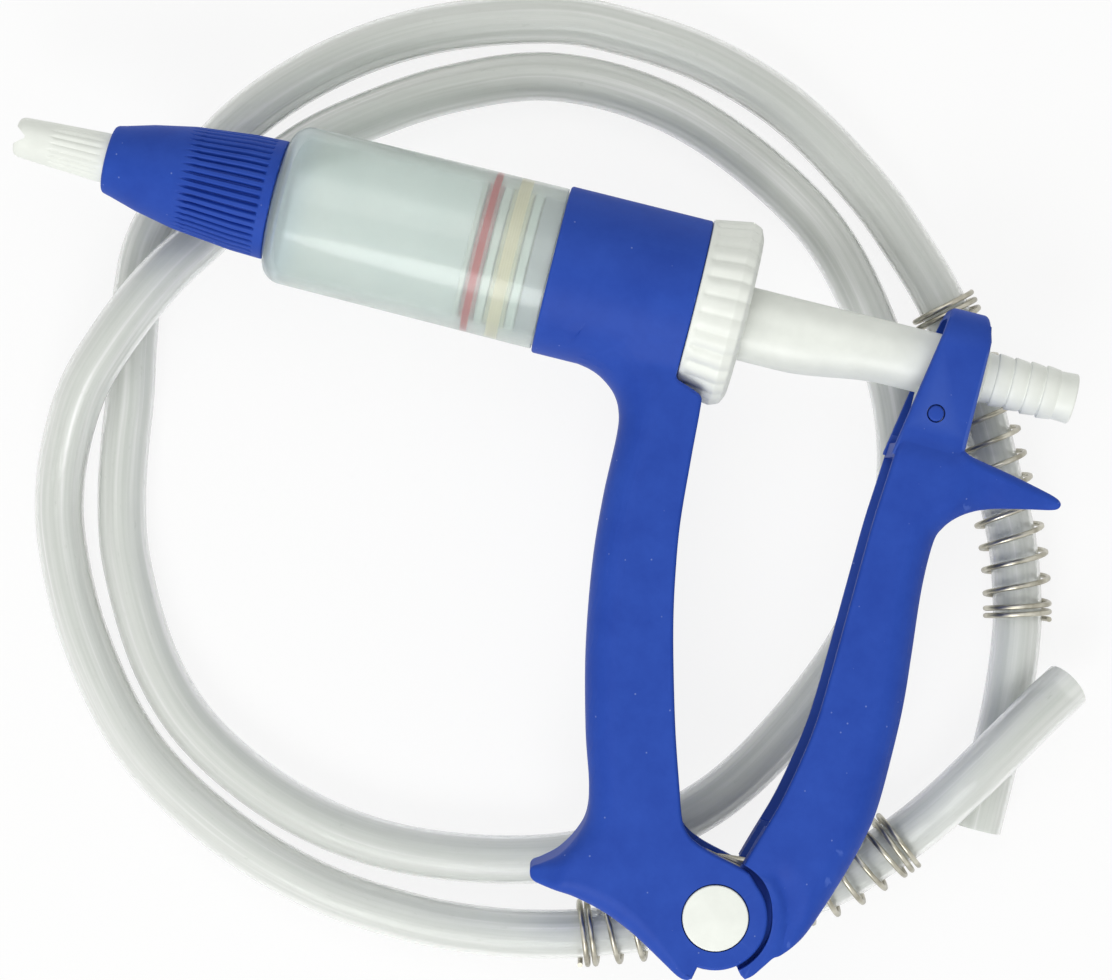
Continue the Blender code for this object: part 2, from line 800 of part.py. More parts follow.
def coil(start, end, radius, turns, per_turn):
    """Points of a coil about the x axis of its parent."""
    points = []
    count = int(turns * per_turn)
    for step in range(count + 1):
        angle = TAU * step / per_turn
        x = start + (end - start) * step / count
        points.append((x, radius * math.cos(angle), radius * math.sin(angle)))
    return points


flange_front = CAP_FRONT + CAP_LIP + GAP
flange_rear = flange_front + 2.0
bore_in_cap = NOZZLE_RADIUS + 2.2
outlet_coil = coil(flange_rear + 0.7, valve_rear - 2.2 - VALVE_TRAVEL - 0.7, 3.6, 3, 8)
wire("outlet_spring", outlet_coil, 0.4, 1, barrel_axis, plastic("outlet_steel", steel, 0.3, 1.0))

nozzle_profile = [
    (flange_rear, 2.0),
    (flange_rear, bore_in_cap - GAP),
    (flange_front, bore_in_cap - GAP),
    (flange_front, NOZZLE_RADIUS),
    (CAP_FRONT - 2.2, NOZZLE_RADIUS - 0.1),
    (CAP_FRONT - 2.6, NOZZLE_RADIUS - 0.2, 0.35),
    (NOZZLE_TIP + 10.0, 5.35, 0.35),
    (NOZZLE_TIP + 9.0, 5.3),
    (NOZZLE_TIP + 1.6, 4.85),
    (NOZZLE_TIP + 0.4, 4.5),
    (NOZZLE_TIP, 3.8),
    (NOZZLE_TIP, 2.0),
]
nozzle = turned(
    "nozzle", nozzle_profile, 36, barrel_axis, plastic("nozzle_white", white, 0.35), lobes=18
)
notch = layered(
    "nozzle_notch",
    [
        [
            (NOZZLE_TIP - 2.0, -5.2, z),
            (NOZZLE_TIP + 3.4, -0.5, z),
            (NOZZLE_TIP + 3.4, 0.5, z),
            (NOZZLE_TIP - 2.0, 5.2, z),
        ]
        for z in (-9.0, 9.0)
    ],
    barrel_axis,
)
cut(nozzle, notch)

cap_shoulder = seat_front - GAP
cap_outside = NECK_RADIUS + CAP_WALL
cap_profile = [
    (CAP_FRONT, NOZZLE_RADIUS + GAP),
    (CAP_FRONT, NOZZLE_RADIUS + 1.0),
    (CAP_FRONT + 0.7, NOZZLE_RADIUS + 1.9),
    (CAP_FRONT + 2.6, bore_in_cap + 0.45),
    (CAP_FRONT + 0.24 * CAP_LENGTH, cap_outside - 3.9),
    (CAP_FRONT + 0.47 * CAP_LENGTH, cap_outside - 1.9),
    (CAP_FRONT + 0.67 * CAP_LENGTH, cap_outside - 0.85),
    (CAP_REAR - 0.4, cap_outside),
    (CAP_REAR, cap_outside - 0.4),
    (CAP_REAR, NECK_RADIUS + GAP),
    (cap_shoulder, NECK_RADIUS + GAP),
    (cap_shoulder, bore_in_cap),
    (CAP_FRONT + CAP_LIP, bore_in_cap),
    (CAP_FRONT + CAP_LIP, NOZZLE_RADIUS + GAP),
]
nose_cap = turned("nose_cap", cap_profile, 44, barrel_axis, plastic("cap_blue", blue))


def grip_grooves():
    """Forty-four cutters round the cap, whose floors rise forward until they leave its skin."""
    count = 44
    stations = [
        (CAP_FRONT + 0.38 * CAP_LENGTH, cap_outside - 2.6, 0.30),
        (CAP_FRONT + 0.89 * CAP_LENGTH, cap_outside - 1.0, 0.48),
    ]
    mesh = bmesh.new()
    for index in range(count):
        angle = TAU * (index + 0.5) / count
        out = Vector((0.0, math.cos(angle), math.sin(angle)))
        side = Vector((0.0, -math.sin(angle), math.cos(angle)))
        rings = []
        for x, low, half in stations:
            ring = []
            high = cap_outside + 1.5
            for across, reach in ((-half, low), (half, low), (half * 1.15, high), (-half * 1.15, high)):
                ring.append(mesh.verts.new(Vector((x, 0.0, 0.0)) + out * reach + side * across))
            rings.append(ring)
        for first, second in zip(rings, rings[1:]):
            for corner in range(4):
                after = (corner + 1) % 4
                mesh.faces.new((first[corner], first[after], second[after], second[corner]))
        mesh.faces.new(rings[0])
        mesh.faces.new(list(reversed(rings[-1])))
    return solid("grip_grooves", mesh, barrel_axis)


cut(nose_cap, grip_grooves())

# Piston with its seal, its guide ring and the inlet valve in its nose.
guide_rear = PISTON_REAR - 2.1
guide_front = guide_rear - GUIDE_GROOVE
seal_rear = guide_front - 2.0
seal_face = seal_rear - SEAL_GROOVE
piston_face = seal_face - 1.2
socket_floor = PISTON_REAR - 3.6
spigot_radius = 6.2
land = BORE_RADIUS - GAP
piston_profile = [
    (piston_face, 7.5),
    (piston_face, land),
    (seal_face, land),
    (seal_face, BORE_RADIUS - SEAL_DEPTH),
    (seal_rear, BORE_RADIUS - SEAL_DEPTH),
    (seal_rear, land),
    (guide_front, land),
    (guide_front, BORE_RADIUS - GUIDE_DEPTH),
    (guide_rear, BORE_RADIUS - GUIDE_DEPTH),
    (guide_rear, land),
    (PISTON_REAR, land),
    (PISTON_REAR, spigot_radius + GAP),
    (socket_floor, spigot_radius + GAP),
    (socket_floor, 3.5),
    (socket_floor - 1.4, 3.5),
    (socket_floor - 1.4, 7.5),
]
turned("piston", piston_profile, 24, barrel_axis, plastic("piston_white", white))
seal_thick = min(SEAL_GROOVE, SEAL_DEPTH) / 2.0 - GAP
seal_middle = ((seal_face + seal_rear) / 2.0, land - seal_thick)
seal_section = []
for step in range(6):
    angle = TAU * step / 6
    across = (seal_thick * math.cos(angle), seal_thick * math.sin(angle))
    seal_section.append((seal_middle[0] + across[0], seal_middle[1] + across[1]))
turned("piston_o_ring", seal_section, 24, barrel_axis, plastic("seal_red", (0.48, 0.07, 0.08), 0.5))
guide_inside = BORE_RADIUS - GUIDE_DEPTH + GAP
turned(
    "guide_ring",
    [
        (guide_front + GAP, guide_inside),
        (guide_front + GAP, land),
        (guide_rear - GAP, land),
        (guide_rear - GAP, guide_inside),
    ],
    24,
    barrel_axis,
    plastic("guide_cream", (0.66, 0.60, 0.42), 0.5),
)
inlet_rear = socket_floor - 1.4 - GAP
turned(
    "inlet_valve",
    [
        (inlet_rear, 0.0),
        (inlet_rear, 5.4),
        (inlet_rear - 1.5, 5.4),
        (inlet_rear - 1.9, 1.5),
        (inlet_rear - 6.9, 1.3),
        (inlet_rear - 6.9, 0.0),
    ],
    14,
    barrel_axis,
    plastic("inlet_white", white),
)
retainer_rear = piston_face + 1.9
wire(
    "inlet_spring",
    coil(retainer_rear + 0.7, inlet_rear - 1.9 - VALVE_TRAVEL - 0.5, 3.2, 2, 8),
    0.35,
    1,
    barrel_axis,
    plastic("inlet_steel", steel, 0.3, 1.0),
)
retainer = turned(
    "inlet_retainer",
    [(piston_face + 0.2, 1.7), (piston_face + 0.2, 7.2), (retainer_rear, 7.2), (retainer_rear, 1.7)],
    24,
    barrel_axis,
    plastic("retainer_white", white),
)
for index in range(3):
    angle = TAU * (index + 0.37) / 3
    hole = turned(
        f"retainer_hole_{index + 1}",
        [
            (piston_face - 2.0, 0.0),
            (piston_face - 2.0, 1.1),
            (retainer_rear + 2.0, 1.1),
            (retainer_rear + 2.0, 0.0),
        ],
        8,
        barrel_axis,
        at=(5.2 * math.cos(angle), 5.2 * math.sin(angle)),
    )
    cut(retainer, hole)

# Plunger rod: spigot into the piston, keeled shaft, lug for the yoke pin, ridged hose tail.


def rod_section(x, radius, keel):
    ring = []
    for step in range(24):
        angle = TAU * step / 24
        reach = radius + keel * max(0.0, -math.sin(angle)) ** 1.5
        ring.append((x, reach * math.sin(angle), reach * math.cos(angle)))
    return ring


rod_front = PISTON_REAR + GAP
rod_stations = [
    (socket_floor + GAP, spigot_radius, 0.0),
    (rod_front, spigot_radius, 0.0),
    (rod_front, ROD_RADIUS, ROD_KEEL),
    (-12.0, ROD_RADIUS, ROD_KEEL),
    (-4.0, ROD_RADIUS, ROD_KEEL * 0.75),
    (3.0, ROD_RADIUS, ROD_KEEL * 0.3),
    (9.0, ROD_RADIUS, 0.0),
    (BARB_START - 0.6, ROD_RADIUS, 0.0),
    (BARB_START, ROD_RADIUS - 0.5, 0.0),
    (BARB_START + 0.2, BARB_RADIUS, 0.0),
    (BARB_START + 2.6, BARB_RADIUS - 0.1, 0.0),
]
for index in range(4):
    ridge = BARB_START + 2.8 + RIDGE_PITCH * index
    rod_stations += [(ridge, BARB_RADIUS + 0.25, 0.0), (ridge + RIDGE_PITCH - 0.5, BARB_RADIUS - 0.1, 0.0)]
barb_end = BARB_START + BARB_LENGTH
rod_stations += [(barb_end - 0.5, BARB_RADIUS - 0.1, 0.0), (barb_end, BARB_RADIUS - 0.55, 0.0)]
rod = layered(
    "plunger_rod", [rod_section(*station) for station in rod_stations], barrel_axis, plastic("rod_white", white)
)
lug_low = YOKE_PIN_Y - 3.95
lug = plate(
    "rod_lug",
    rounded(
        [
            (YOKE_PIN_X - 4.6, lug_low, 1.5),
            (YOKE_PIN_X + 4.6, lug_low, 1.5),
            (YOKE_PIN_X + 4.6, BARREL_Y - 5.6),
            (YOKE_PIN_X - 4.6, BARREL_Y - 5.6),
        ],
        3,
    ),
    -4.5,
    4.5,
    gun_origin,
)
join(rod, lug)
lug_slot = plate(
    "rod_lug_slot",
    rounded(
        [
            (YOKE_PIN_X - 2.25, YOKE_PIN_Y - 2.25, 2.0),
            (YOKE_PIN_X + 2.25, YOKE_PIN_Y - 2.25, 2.0),
            (YOKE_PIN_X + 2.25, YOKE_PIN_Y + 4.05, 2.0),
            (YOKE_PIN_X - 2.25, YOKE_PIN_Y + 4.05, 2.0),
        ],
        4,
    ),
    -9.0,
    9.0,
    gun_origin,
)
rod_bore = turned(
    "rod_bore",
    [(rod_front - 10.0, 0.0), (rod_front - 10.0, ROD_BORE), (barb_end + 6.0, ROD_BORE), (barb_end + 6.0, 0.0)],
    20,
    barrel_axis,
)
cut(rod, lug_slot, rod_bore)

# Stop sleeve: threaded tube that sets the stroke, sliding on the keeled rod.
sleeve_profile = [
    (rod_front, 0.0),
    (rod_front, BORE_RADIUS - 0.4),
    (rod_front + SLEEVE_FLANGE, BORE_RADIUS - 0.4),
    (rod_front + SLEEVE_FLANGE, SLEEVE_RADIUS),
    (SLEEVE_REAR - 0.6, SLEEVE_RADIUS),
    (SLEEVE_REAR, SLEEVE_RADIUS - 0.5),
    (SLEEVE_REAR, 0.0),
]
sleeve = turned("stop_sleeve", sleeve_profile, 24, barrel_axis, plastic("sleeve_grey", (0.45, 0.45, 0.50)))
sleeve_key = layered(
    "sleeve_key", [rod_section(x, ROD_RADIUS + 0.4, ROD_KEEL) for x in (-90.0, -30.0)], barrel_axis
)
cut(sleeve, sleeve_key)

# Dose nut: scalloped nut snapped into the ring's rear lip, its bore on the sleeve's thread.
nut_outside = [
    (NUT_FRONT, 0.0),
    (NUT_FRONT, NUT_RADIUS - 1.6, 0.8),
    (NUT_REAR - 3.4, NUT_RADIUS, 1.1),
    (NUT_REAR - 1.0, NUT_RADIUS - 0.9, 1.0),
    (NUT_REAR, NUT_RADIUS - 3.2, 0.5),
    (NUT_REAR, 0.0),
]
nut = turned("dose_nut", nut_outside, 112, barrel_axis, plastic("nut_white", white), lobes=28)
nut_hub = turned(
    "nut_hub",
    [
        (LIP_FRONT - 2.2, 0.0),
        (LIP_FRONT - 2.2, LIP_RADIUS + 0.4),
        (LIP_FRONT - 1.7, LIP_RADIUS + 1.0),
        (LIP_FRONT - 0.4, LIP_RADIUS + 1.0),
        (LIP_FRONT - 0.3, LIP_RADIUS - GAP),
        (NUT_FRONT + 1.6, LIP_RADIUS - GAP),
        (NUT_FRONT + 1.6, 0.0),
    ],
    32,
    barrel_axis,
)
join(nut, nut_hub)
nut_bore = turned(
    "nut_bore",
    [
        (LIP_FRONT - 6.0, 0.0),
        (LIP_FRONT - 6.0, SLEEVE_RADIUS + GAP),
        (NUT_REAR - 4.3, SLEEVE_RADIUS + GAP),
        (NUT_REAR - 4.3, ROD_RADIUS + ROD_KEEL + 0.45),
        (NUT_REAR + 6.0, ROD_RADIUS + ROD_KEEL + 0.45),
        (NUT_REAR + 6.0, 0.0),
    ],
    28,
    barrel_axis,
)
cut(nut, nut_bore)

# Feed hose: two loose turns on the floor, one strand over the other at the left, end B over end A at the right. Each
# route point is x, y and the height of the hose's centre above the floor.
HOSE_ROUTE = [
    (60, 33, 6),
    (60, 46, 6),
    (60, 58, 6),
    (59.5, 68, 6.2),
    (58, 80, 8.0),
    (56.5, 87.5, 8.4),
    (51.5, 103, 8.4),
    (43.5, 119, 8.4),
    (33, 138, 8.4),
    (22.5, 153.5, 8.4),
    (17, 160, 8.3),
    (9, 168, 6.7),
    (-3, 178.5, 6),
    (-28, 194, 6),
    (-50, 201, 6),
    (-72, 203, 6),
    (-88, 202, 6),
    (-118, 192, 6),
    (-140, 178, 6),
    (-158, 159, 6),
    (-170, 136, 6),
    (-173.5, 123, 6),
    (-173, 111, 6),
    (-171, 98, 6),
    (-168.5, 85, 6),
    (-167, 74, 6),
    (-164.5, 61, 6),
    (-160, 47, 6),
    (-146, 23, 6),
    (-131, 9, 6),
    (-104, -3, 6),
    (-74, -6, 6),
    (-34, 3, 6),
    (-7, 22, 6),
    (10, 48, 6),
    (21, 78, 6),
    (22, 105, 6),
    (15, 131, 6),
    (-6, 161, 6),
    (-23, 174, 6),
    (-55, 187, 6),
    (-86, 188, 6),
    (-111, 178.5, 6),
    (-129, 167, 6),
    (-140, 158, 6),
    (-147, 150, 6.2),
    (-153, 141, 7.4),
    (-159, 130, 10.8),
    (-165, 120, 15.8),
    (-170, 110, 18.8),
    (-175, 98, 18.5),
    (-179, 86, 15.8),
    (-180.5, 74, 11.4),
    (-180, 61, 7.3),
    (-177, 49, 6),
    (-166, 27, 6),
    (-146, 3, 6),
    (-122, -11.5, 6),
    (-95, -20, 6),
    (-68, -22, 6),
    (-50, -20.5, 6.4),
    (-38, -18, 8.0),
    (-26, -14.5, 8.4),
    (3, -3, 8.4),
    (28, 11.5, 8.4),
    (38, 21.5, 8.4),
    (43, 27.2, 8.9),
    (47, 32.8, 11.2),
    (51, 39.5, 15.4),
    (55.5, 47.5, 19.0),
    (60, 55, 19.4),
    (65, 63, 17.8),
    (72, 73, 13.8),
]
HOSE_POINTS = 80


def smooth_route(route, steps=12):
    """Dense points of a smooth line through the route points, and the length along it at each."""
    ends = [Vector(place) for place in route]
    ends = [ends[0] * 2.0 - ends[1]] + ends + [ends[-1] * 2.0 - ends[-2]]
    line = []
    for index in range(1, len(ends) - 2):
        before, first, second, after = ends[index - 1 : index + 3]
        t1 = math.sqrt((first - before).length)
        t2 = t1 + math.sqrt((second - first).length)
        t3 = t2 + math.sqrt((after - second).length)
        for step in range(steps):
            t = t1 + (t2 - t1) * step / steps
            low = before.lerp(first, t / t1)
            middle = first.lerp(second, (t - t1) / (t2 - t1))
            high = second.lerp(after, (t - t2) / (t3 - t2))
            low = low.lerp(middle, t / t2)
            high = middle.lerp(high, (t - t1) / (t3 - t1))
            line.append(low.lerp(high, (t - t1) / (t2 - t1)))
    line.append(ends[-2])
    lengths = [0.0]
    for first, second in zip(line, line[1:]):
        lengths.append(lengths[-1] + (second - first).length)
    return line, lengths


def point_at(line, lengths, wanted):
    index = 1
    while index < len(lengths) - 1 and lengths[index] < wanted:
        index += 1
    share = (wanted - lengths[index - 1]) / (lengths[index] - lengths[index - 1])
    return line[index - 1].lerp(line[index], share)


route_line, route_lengths = smooth_route(HOSE_ROUTE)
effort = [0.0]
for first, second in zip(route_line, route_line[1:]):
    climb = 1.0 + 0.11 * max(0.0, (first.z + second.z) / 2.0 - HOSE_RADIUS)
    effort.append(effort[-1] + (second - first).length * climb)
hose_points = []
for index in range(HOSE_POINTS):
    place = point_at(route_line, effort, effort[-1] * index / (HOSE_POINTS - 1))
    hose_points.append((place.x, place.y, place.z + FLOOR))
wire("hose", hose_points, HOSE_RADIUS, 2, None, plastic("hose_clear", (0.60, 0.63, 0.62), 0.15, 0.0, 0.5))


def spring_on_hose(name, start, end, per_turn=8):
    """An open coil spring lying on the floor round the hose, between two lengths along it, with two closed end turns."""
    close = 2.0 * SPRING_WIRE + 0.6
    turns = 4 + round((end - start - 4.0 * close) / SPRING_PITCH)
    count = turns * per_turn
    open_pitch = (end - start - 4.0 * close) / (turns - 4)
    points = []
    along = start
    for step in range(count + 1):
        middle = point_at(route_line, route_lengths, along)
        ahead = point_at(route_line, route_lengths, along + 2.0) - point_at(route_line, route_lengths, along - 2.0)
        ahead.z = 0.0
        side = Vector((ahead.y, -ahead.x, 0.0)).normalized()
        angle = TAU * step / per_turn
        reach = SPRING_RADIUS - SPRING_WIRE
        place = Vector((middle.x, middle.y, FLOOR + SPRING_RADIUS))
        place += side * (reach * math.cos(angle)) + Vector((0.0, 0.0, reach * math.sin(angle)))
        points.append(place)
        turn = step / per_turn
        along += (close if turn < 2.0 or turn >= turns - 2.0 else open_pitch) / per_turn
    least = min(
        (points[i] - points[j]).length for i in range(len(points)) for j in range(i + per_turn // 2 + 1, len(points))
    )
    print(f"{name}: {turns} turns, least gap between curls {least - 2.0 * SPRING_WIRE:.2f} mm")
    wire(name, points, SPRING_WIRE, 1, None, plastic(f"{name}_steel", steel, 0.35, 1.0))


spring_on_hose("hose_spring_rear", 53.0, 133.0)
spring_on_hose("hose_spring_front", 1247.0, 1331.0)
print(f"hose length {route_lengths[-1]:.0f} mm")
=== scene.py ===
"""Pour-on applicator: the looks of a squeeze-grip dosing gun that lies on its own clear feed hose.

Lengths are in millimetres until a piece is made, and MM turns them into metres. Along the gun, x runs from
the nozzle to the hose tail, y from the hinge up to the barrel, and z out of the upper cheek.
"""

import math

import bmesh
import bpy
import numpy as np
from mathutils import Matrix, Vector


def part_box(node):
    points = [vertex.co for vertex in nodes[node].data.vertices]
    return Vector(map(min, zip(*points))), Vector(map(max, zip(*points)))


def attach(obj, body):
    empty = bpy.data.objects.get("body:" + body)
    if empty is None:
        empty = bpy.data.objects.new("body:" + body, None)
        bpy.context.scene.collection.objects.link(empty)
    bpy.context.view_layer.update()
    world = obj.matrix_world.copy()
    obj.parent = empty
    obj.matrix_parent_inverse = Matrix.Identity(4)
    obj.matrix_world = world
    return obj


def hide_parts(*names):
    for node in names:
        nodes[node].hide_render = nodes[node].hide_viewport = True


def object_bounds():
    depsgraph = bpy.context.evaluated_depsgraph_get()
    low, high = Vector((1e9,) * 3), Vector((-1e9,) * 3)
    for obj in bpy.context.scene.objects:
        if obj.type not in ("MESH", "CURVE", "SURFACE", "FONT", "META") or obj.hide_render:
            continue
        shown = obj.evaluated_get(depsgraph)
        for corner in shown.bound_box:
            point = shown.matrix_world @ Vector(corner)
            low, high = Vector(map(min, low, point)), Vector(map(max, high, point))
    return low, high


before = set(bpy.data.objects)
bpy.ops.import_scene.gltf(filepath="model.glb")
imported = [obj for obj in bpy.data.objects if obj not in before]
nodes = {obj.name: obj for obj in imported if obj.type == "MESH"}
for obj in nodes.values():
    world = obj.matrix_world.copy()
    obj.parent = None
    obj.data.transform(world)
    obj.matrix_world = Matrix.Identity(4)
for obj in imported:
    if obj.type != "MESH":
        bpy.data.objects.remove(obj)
cad_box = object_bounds()

# The studio: a plain pale table and backdrop, a camera straight above the gun as in the photograph, and wide
# soft lamps. The table shows white and keeps a faint shadow, and the lamps stay low enough for a colour to
# look as it is written.
MM = 0.001
CAMERA_X = -61.0
CAMERA_Y = 89.05
CAMERA_HEIGHT = 900.0
CAMERA_TURN = math.radians(14.0)
PHOTO_SPAN = 266.9
SENSOR = 36.0
TABLE_HALF = 3.0
TABLE_DROP = 0.0002
TABLE_GLOW = 0.86
SKY_LIGHT = 0.55
# Each lamp is its name, its place and its width in metres, and its power in watts.
LAMPS = (("low_window", (-0.05, -0.75, 0.75), 0.6, 6.5), ("high_fill", (-0.35, 0.65, 1.1), 0.9, 3.0))
gun_low, gun_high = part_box("handle_frame")
MID = (gun_low.z + gun_high.z) / 2.0 / MM
FLOOR = cad_box[0].z / MM


def linear(code):
    """The linear colour that a shader takes, from an sRGB hex code."""
    parts = [int(code[start : start + 2], 16) / 255.0 for start in (1, 3, 5)]
    return [p / 12.92 if p <= 0.04045 else ((p + 0.055) / 1.055) ** 2.4 for p in parts] + [1.0]


def add(tree, kind, inputs=(), stops=(), **settings):
    """Adds a node with its settings, and with its stops where it is a colour ramp. Its inputs come by name or
    number, or in their order, and each gets a link where its value is another node or a node's socket."""
    made = tree.nodes.new(kind)
    for name, value in settings.items():
        setattr(made, name, value)
    for name, value in inputs.items() if isinstance(inputs, dict) else enumerate(inputs):
        if isinstance(value, bpy.types.Node):
            value = value.outputs[0]
        if isinstance(value, bpy.types.NodeSocket):
            tree.links.new(value, made.inputs[name])
        else:
            made.inputs[name].default_value = value
    for index, (place, code) in enumerate(stops):
        tones = made.color_ramp.elements
        tone = tones[index] if index < len(tones) else tones.new(place)
        tone.position = place
        tone.color = linear(code)
    return made


def new_tree(holder):
    """The empty node tree of a material or a world."""
    holder.use_nodes = True
    holder.node_tree.nodes.clear()
    return holder.node_tree


def new_material(name):
    """A material with an empty node tree."""
    made = bpy.data.materials.new(name)
    return made, new_tree(made)


def seen_rays(tree):
    """1 for the rays that show the backdrop: straight from the camera, mirrored or through glass."""
    ray = add(tree, "ShaderNodeLightPath").outputs
    either = add(tree, "ShaderNodeMath", (ray["Is Camera Ray"], ray["Is Glossy Ray"]), operation="MAXIMUM")
    return add(tree, "ShaderNodeMath", (either, ray["Is Transmission Ray"]), operation="MAXIMUM")


def painted_table():
    """Matt white board: most of what the eye sees is its own even white, so that shadows stay faint."""
    made, tree = new_material("matt_white_board")
    board = add(tree, "ShaderNodeBsdfDiffuse", {"Color": linear("#F2F2F2")})
    glow = add(tree, "ShaderNodeEmission", {"Color": linear("#FFFFFF"), "Strength": 1.0})
    share = add(tree, "ShaderNodeMath", (seen_rays(tree), TABLE_GLOW), operation="MULTIPLY")
    add(tree, "ShaderNodeOutputMaterial", {"Surface": add(tree, "ShaderNodeMixShader", (share, board, glow))})
    return made


def soft_lamp(name, place, size, power, aim):
    """A round soft lamp that faces a point."""
    lamp = bpy.data.lights.new(name, "AREA")
    lamp.shape = "DISK"
    lamp.size = size
    lamp.energy = power
    made = bpy.data.objects.new(name, lamp)
    made.location = place
    made.rotation_euler = (Vector(aim) - Vector(place)).to_track_quat("-Z", "Y").to_euler()
    bpy.context.scene.collection.objects.link(made)


table_mesh = bpy.data.meshes.new("table")
table_level = FLOOR * MM - TABLE_DROP
corners = [(TABLE_HALF * x, TABLE_HALF * y, table_level) for x, y in ((-1, -1), (1, -1), (1, 1), (-1, 1))]
table_mesh.from_pydata(corners, [], [(0, 1, 2, 3)])
table_mesh.materials.append(painted_table())
table = bpy.data.objects.new("table", table_mesh)
bpy.context.scene.collection.objects.link(table)

world = bpy.data.worlds.new("soft_box")
bpy.context.scene.world = world
sky = new_tree(world)
even = add(sky, "ShaderNodeBackground", {"Color": linear("#FBFCF8"), "Strength": SKY_LIGHT})
shown = add(sky, "ShaderNodeBackground", {"Color": linear("#FFFFFF"), "Strength": 1.0})
add(sky, "ShaderNodeOutputWorld", {"Surface": add(sky, "ShaderNodeMixShader", (seen_rays(sky), even, shown))})
for lamp_settings in LAMPS:
    soft_lamp(*lamp_settings, aim=(CAMERA_X * MM, CAMERA_Y * MM, MID * MM))

lens = bpy.data.cameras.new("camera")
lens.sensor_width = SENSOR
lens.lens = SENSOR * CAMERA_HEIGHT / PHOTO_SPAN
camera = bpy.data.objects.new("camera", lens)
stand = Matrix.Translation((CAMERA_X * MM, CAMERA_Y * MM, (MID + CAMERA_HEIGHT) * MM))
camera.matrix_world = stand @ Matrix.Rotation(CAMERA_TURN, 4, "Z")
bpy.context.scene.collection.objects.link(camera)
bpy.context.scene.camera = camera
bpy.context.scene.view_settings.view_transform = "Standard"

# The feed hose: clear soft PVC tube, extruded and cut off square at both ends, lying in two loose turns under
# the gun. The wall is thick enough to hold faint lengthwise streaks from the die, drawn in relief, with thin
# painted highlights along them in its colour, and the bore shows through it.
HOSE_RADIUS = 6.0
HOSE_BORE = 4.3
HOSE_LENGTH = 1.39
HOSE_STEP = 2.4
HOSE_SIDES = 36
SOFT_CREASE = 60.0
# The marks on the hose, how wide and how long: the streaks that the die draws, with the painted highlights
# along them, and the scuffs of use.
DIE_STREAK_AND_HIGHLIGHT = (1.885, 150.0)
SCUFF = (1.714, 5.455)
# Each route point is x, y and the height of the hose's middle line above the table.
HOSE_ROUTE = [
    (60, 33, 6), (60, 46, 6), (60, 58, 6), (59.5, 68, 6.2), (58, 80, 8.0), (56.5, 87.5, 8.4),
    (51.5, 103, 8.4), (43.5, 119, 8.4), (33, 138, 8.4), (22.5, 153.5, 8.4), (17, 160, 8.3), (9, 168, 6.7),
    (-3, 178.5, 6), (-28, 194, 6), (-50, 201, 6), (-72, 203, 6), (-88, 202, 6), (-118, 192, 6),
    (-140, 178, 6), (-158, 159, 6), (-170, 136, 6), (-173.5, 123, 6), (-173, 111, 6), (-171, 98, 6),
    (-168.5, 85, 6), (-167, 74, 6), (-164.5, 61, 6), (-160, 47, 6), (-146, 23, 6), (-131, 9, 6),
    (-104, -3, 6), (-74, -6, 6), (-34, 3, 6), (-7, 22, 6), (10, 48, 6), (21, 78, 6), (22, 105, 6),
    (15, 131, 6), (-6, 161, 6), (-23, 174, 6), (-55, 187, 6), (-86, 188, 6), (-111, 178.5, 6), (-129, 167, 6),
    (-140, 158, 6), (-147, 150, 6.2), (-153, 141, 7.4), (-159, 130, 10.8), (-165, 120, 15.8),
    (-170, 110, 18.8), (-175, 98, 18.5), (-179, 86, 15.8), (-180.5, 74, 11.4), (-180, 61, 7.3), (-177, 49, 6),
    (-166, 27, 6), (-146, 3, 6), (-122, -11.5, 6), (-95, -20, 6), (-68, -22, 6), (-50, -20.5, 6.4),
    (-38, -18, 8.0), (-26, -14.5, 8.4), (3, -3, 8.4), (28, 11.5, 8.4), (38, 21.5, 8.4), (43, 27.2, 8.9),
    (47, 32.8, 11.2), (51, 39.5, 15.4), (55.5, 47.5, 19.0), (60, 55, 19.4), (65, 63, 17.8), (72, 73, 13.8),
]


def smooth_route(route, steps=12):
    """Dense points of a smooth line through the route points."""
    ends = [Vector(place) for place in route]
    ends = [ends[0] * 2.0 - ends[1]] + ends + [ends[-1] * 2.0 - ends[-2]]
    line = []
    for index in range(1, len(ends) - 2):
        before, first, second, after = ends[index - 1 : index + 3]
        t1 = math.sqrt((first - before).length)
        t2 = t1 + math.sqrt((second - first).length)
        t3 = t2 + math.sqrt((after - second).length)
        for step in range(steps):
            t = t1 + (t2 - t1) * step / steps
            low = before.lerp(first, t / t1)
            centre = first.lerp(second, (t - t1) / (t2 - t1))
            high = second.lerp(after, (t - t2) / (t3 - t2))
            low = low.lerp(centre, t / t2)
            high = centre.lerp(high, (t - t1) / (t3 - t1))
            line.append(low.lerp(high, (t - t1) / (t2 - t1)))
    line.append(ends[-2])
    return line


def stretch_of(line, start, end, step):
    """Points spaced evenly along a stretch of a line."""
    lengths = [0.0]
    for first, second in zip(line, line[1:]):
        lengths.append(lengths[-1] + (second - first).length)
    end = min(end, lengths[-1])
    count = max(2, round((end - start) / step) + 1)
    wanted = [start + (end - start) * index / (count - 1) for index in range(count)]
    columns = [[point[axis] for point in line] for axis in range(3)]
    return [Vector([np.interp(value, lengths, column) for column in columns]) for value in wanted]


def round_angles(count):
    """The angles of points spaced evenly round a circle."""
    return [2.0 * math.pi * index / count for index in range(count)]


def rings_round(line, radius, sides):
    """A ring of points square to a line at each of its points."""
    up = Vector((0.0, 0.0, 1.0))
    angles = round_angles(sides)
    rings = []
    for index, place in enumerate(line):
        ahead = (line[min(index + 1, len(line) - 1)] - line[max(index - 1, 0)]).normalized()
        side = ahead.cross(up).normalized()
        over = side.cross(ahead)
        rings.append([place + side * radius * math.cos(a) + over * radius * math.sin(a) for a in angles])
    return rings


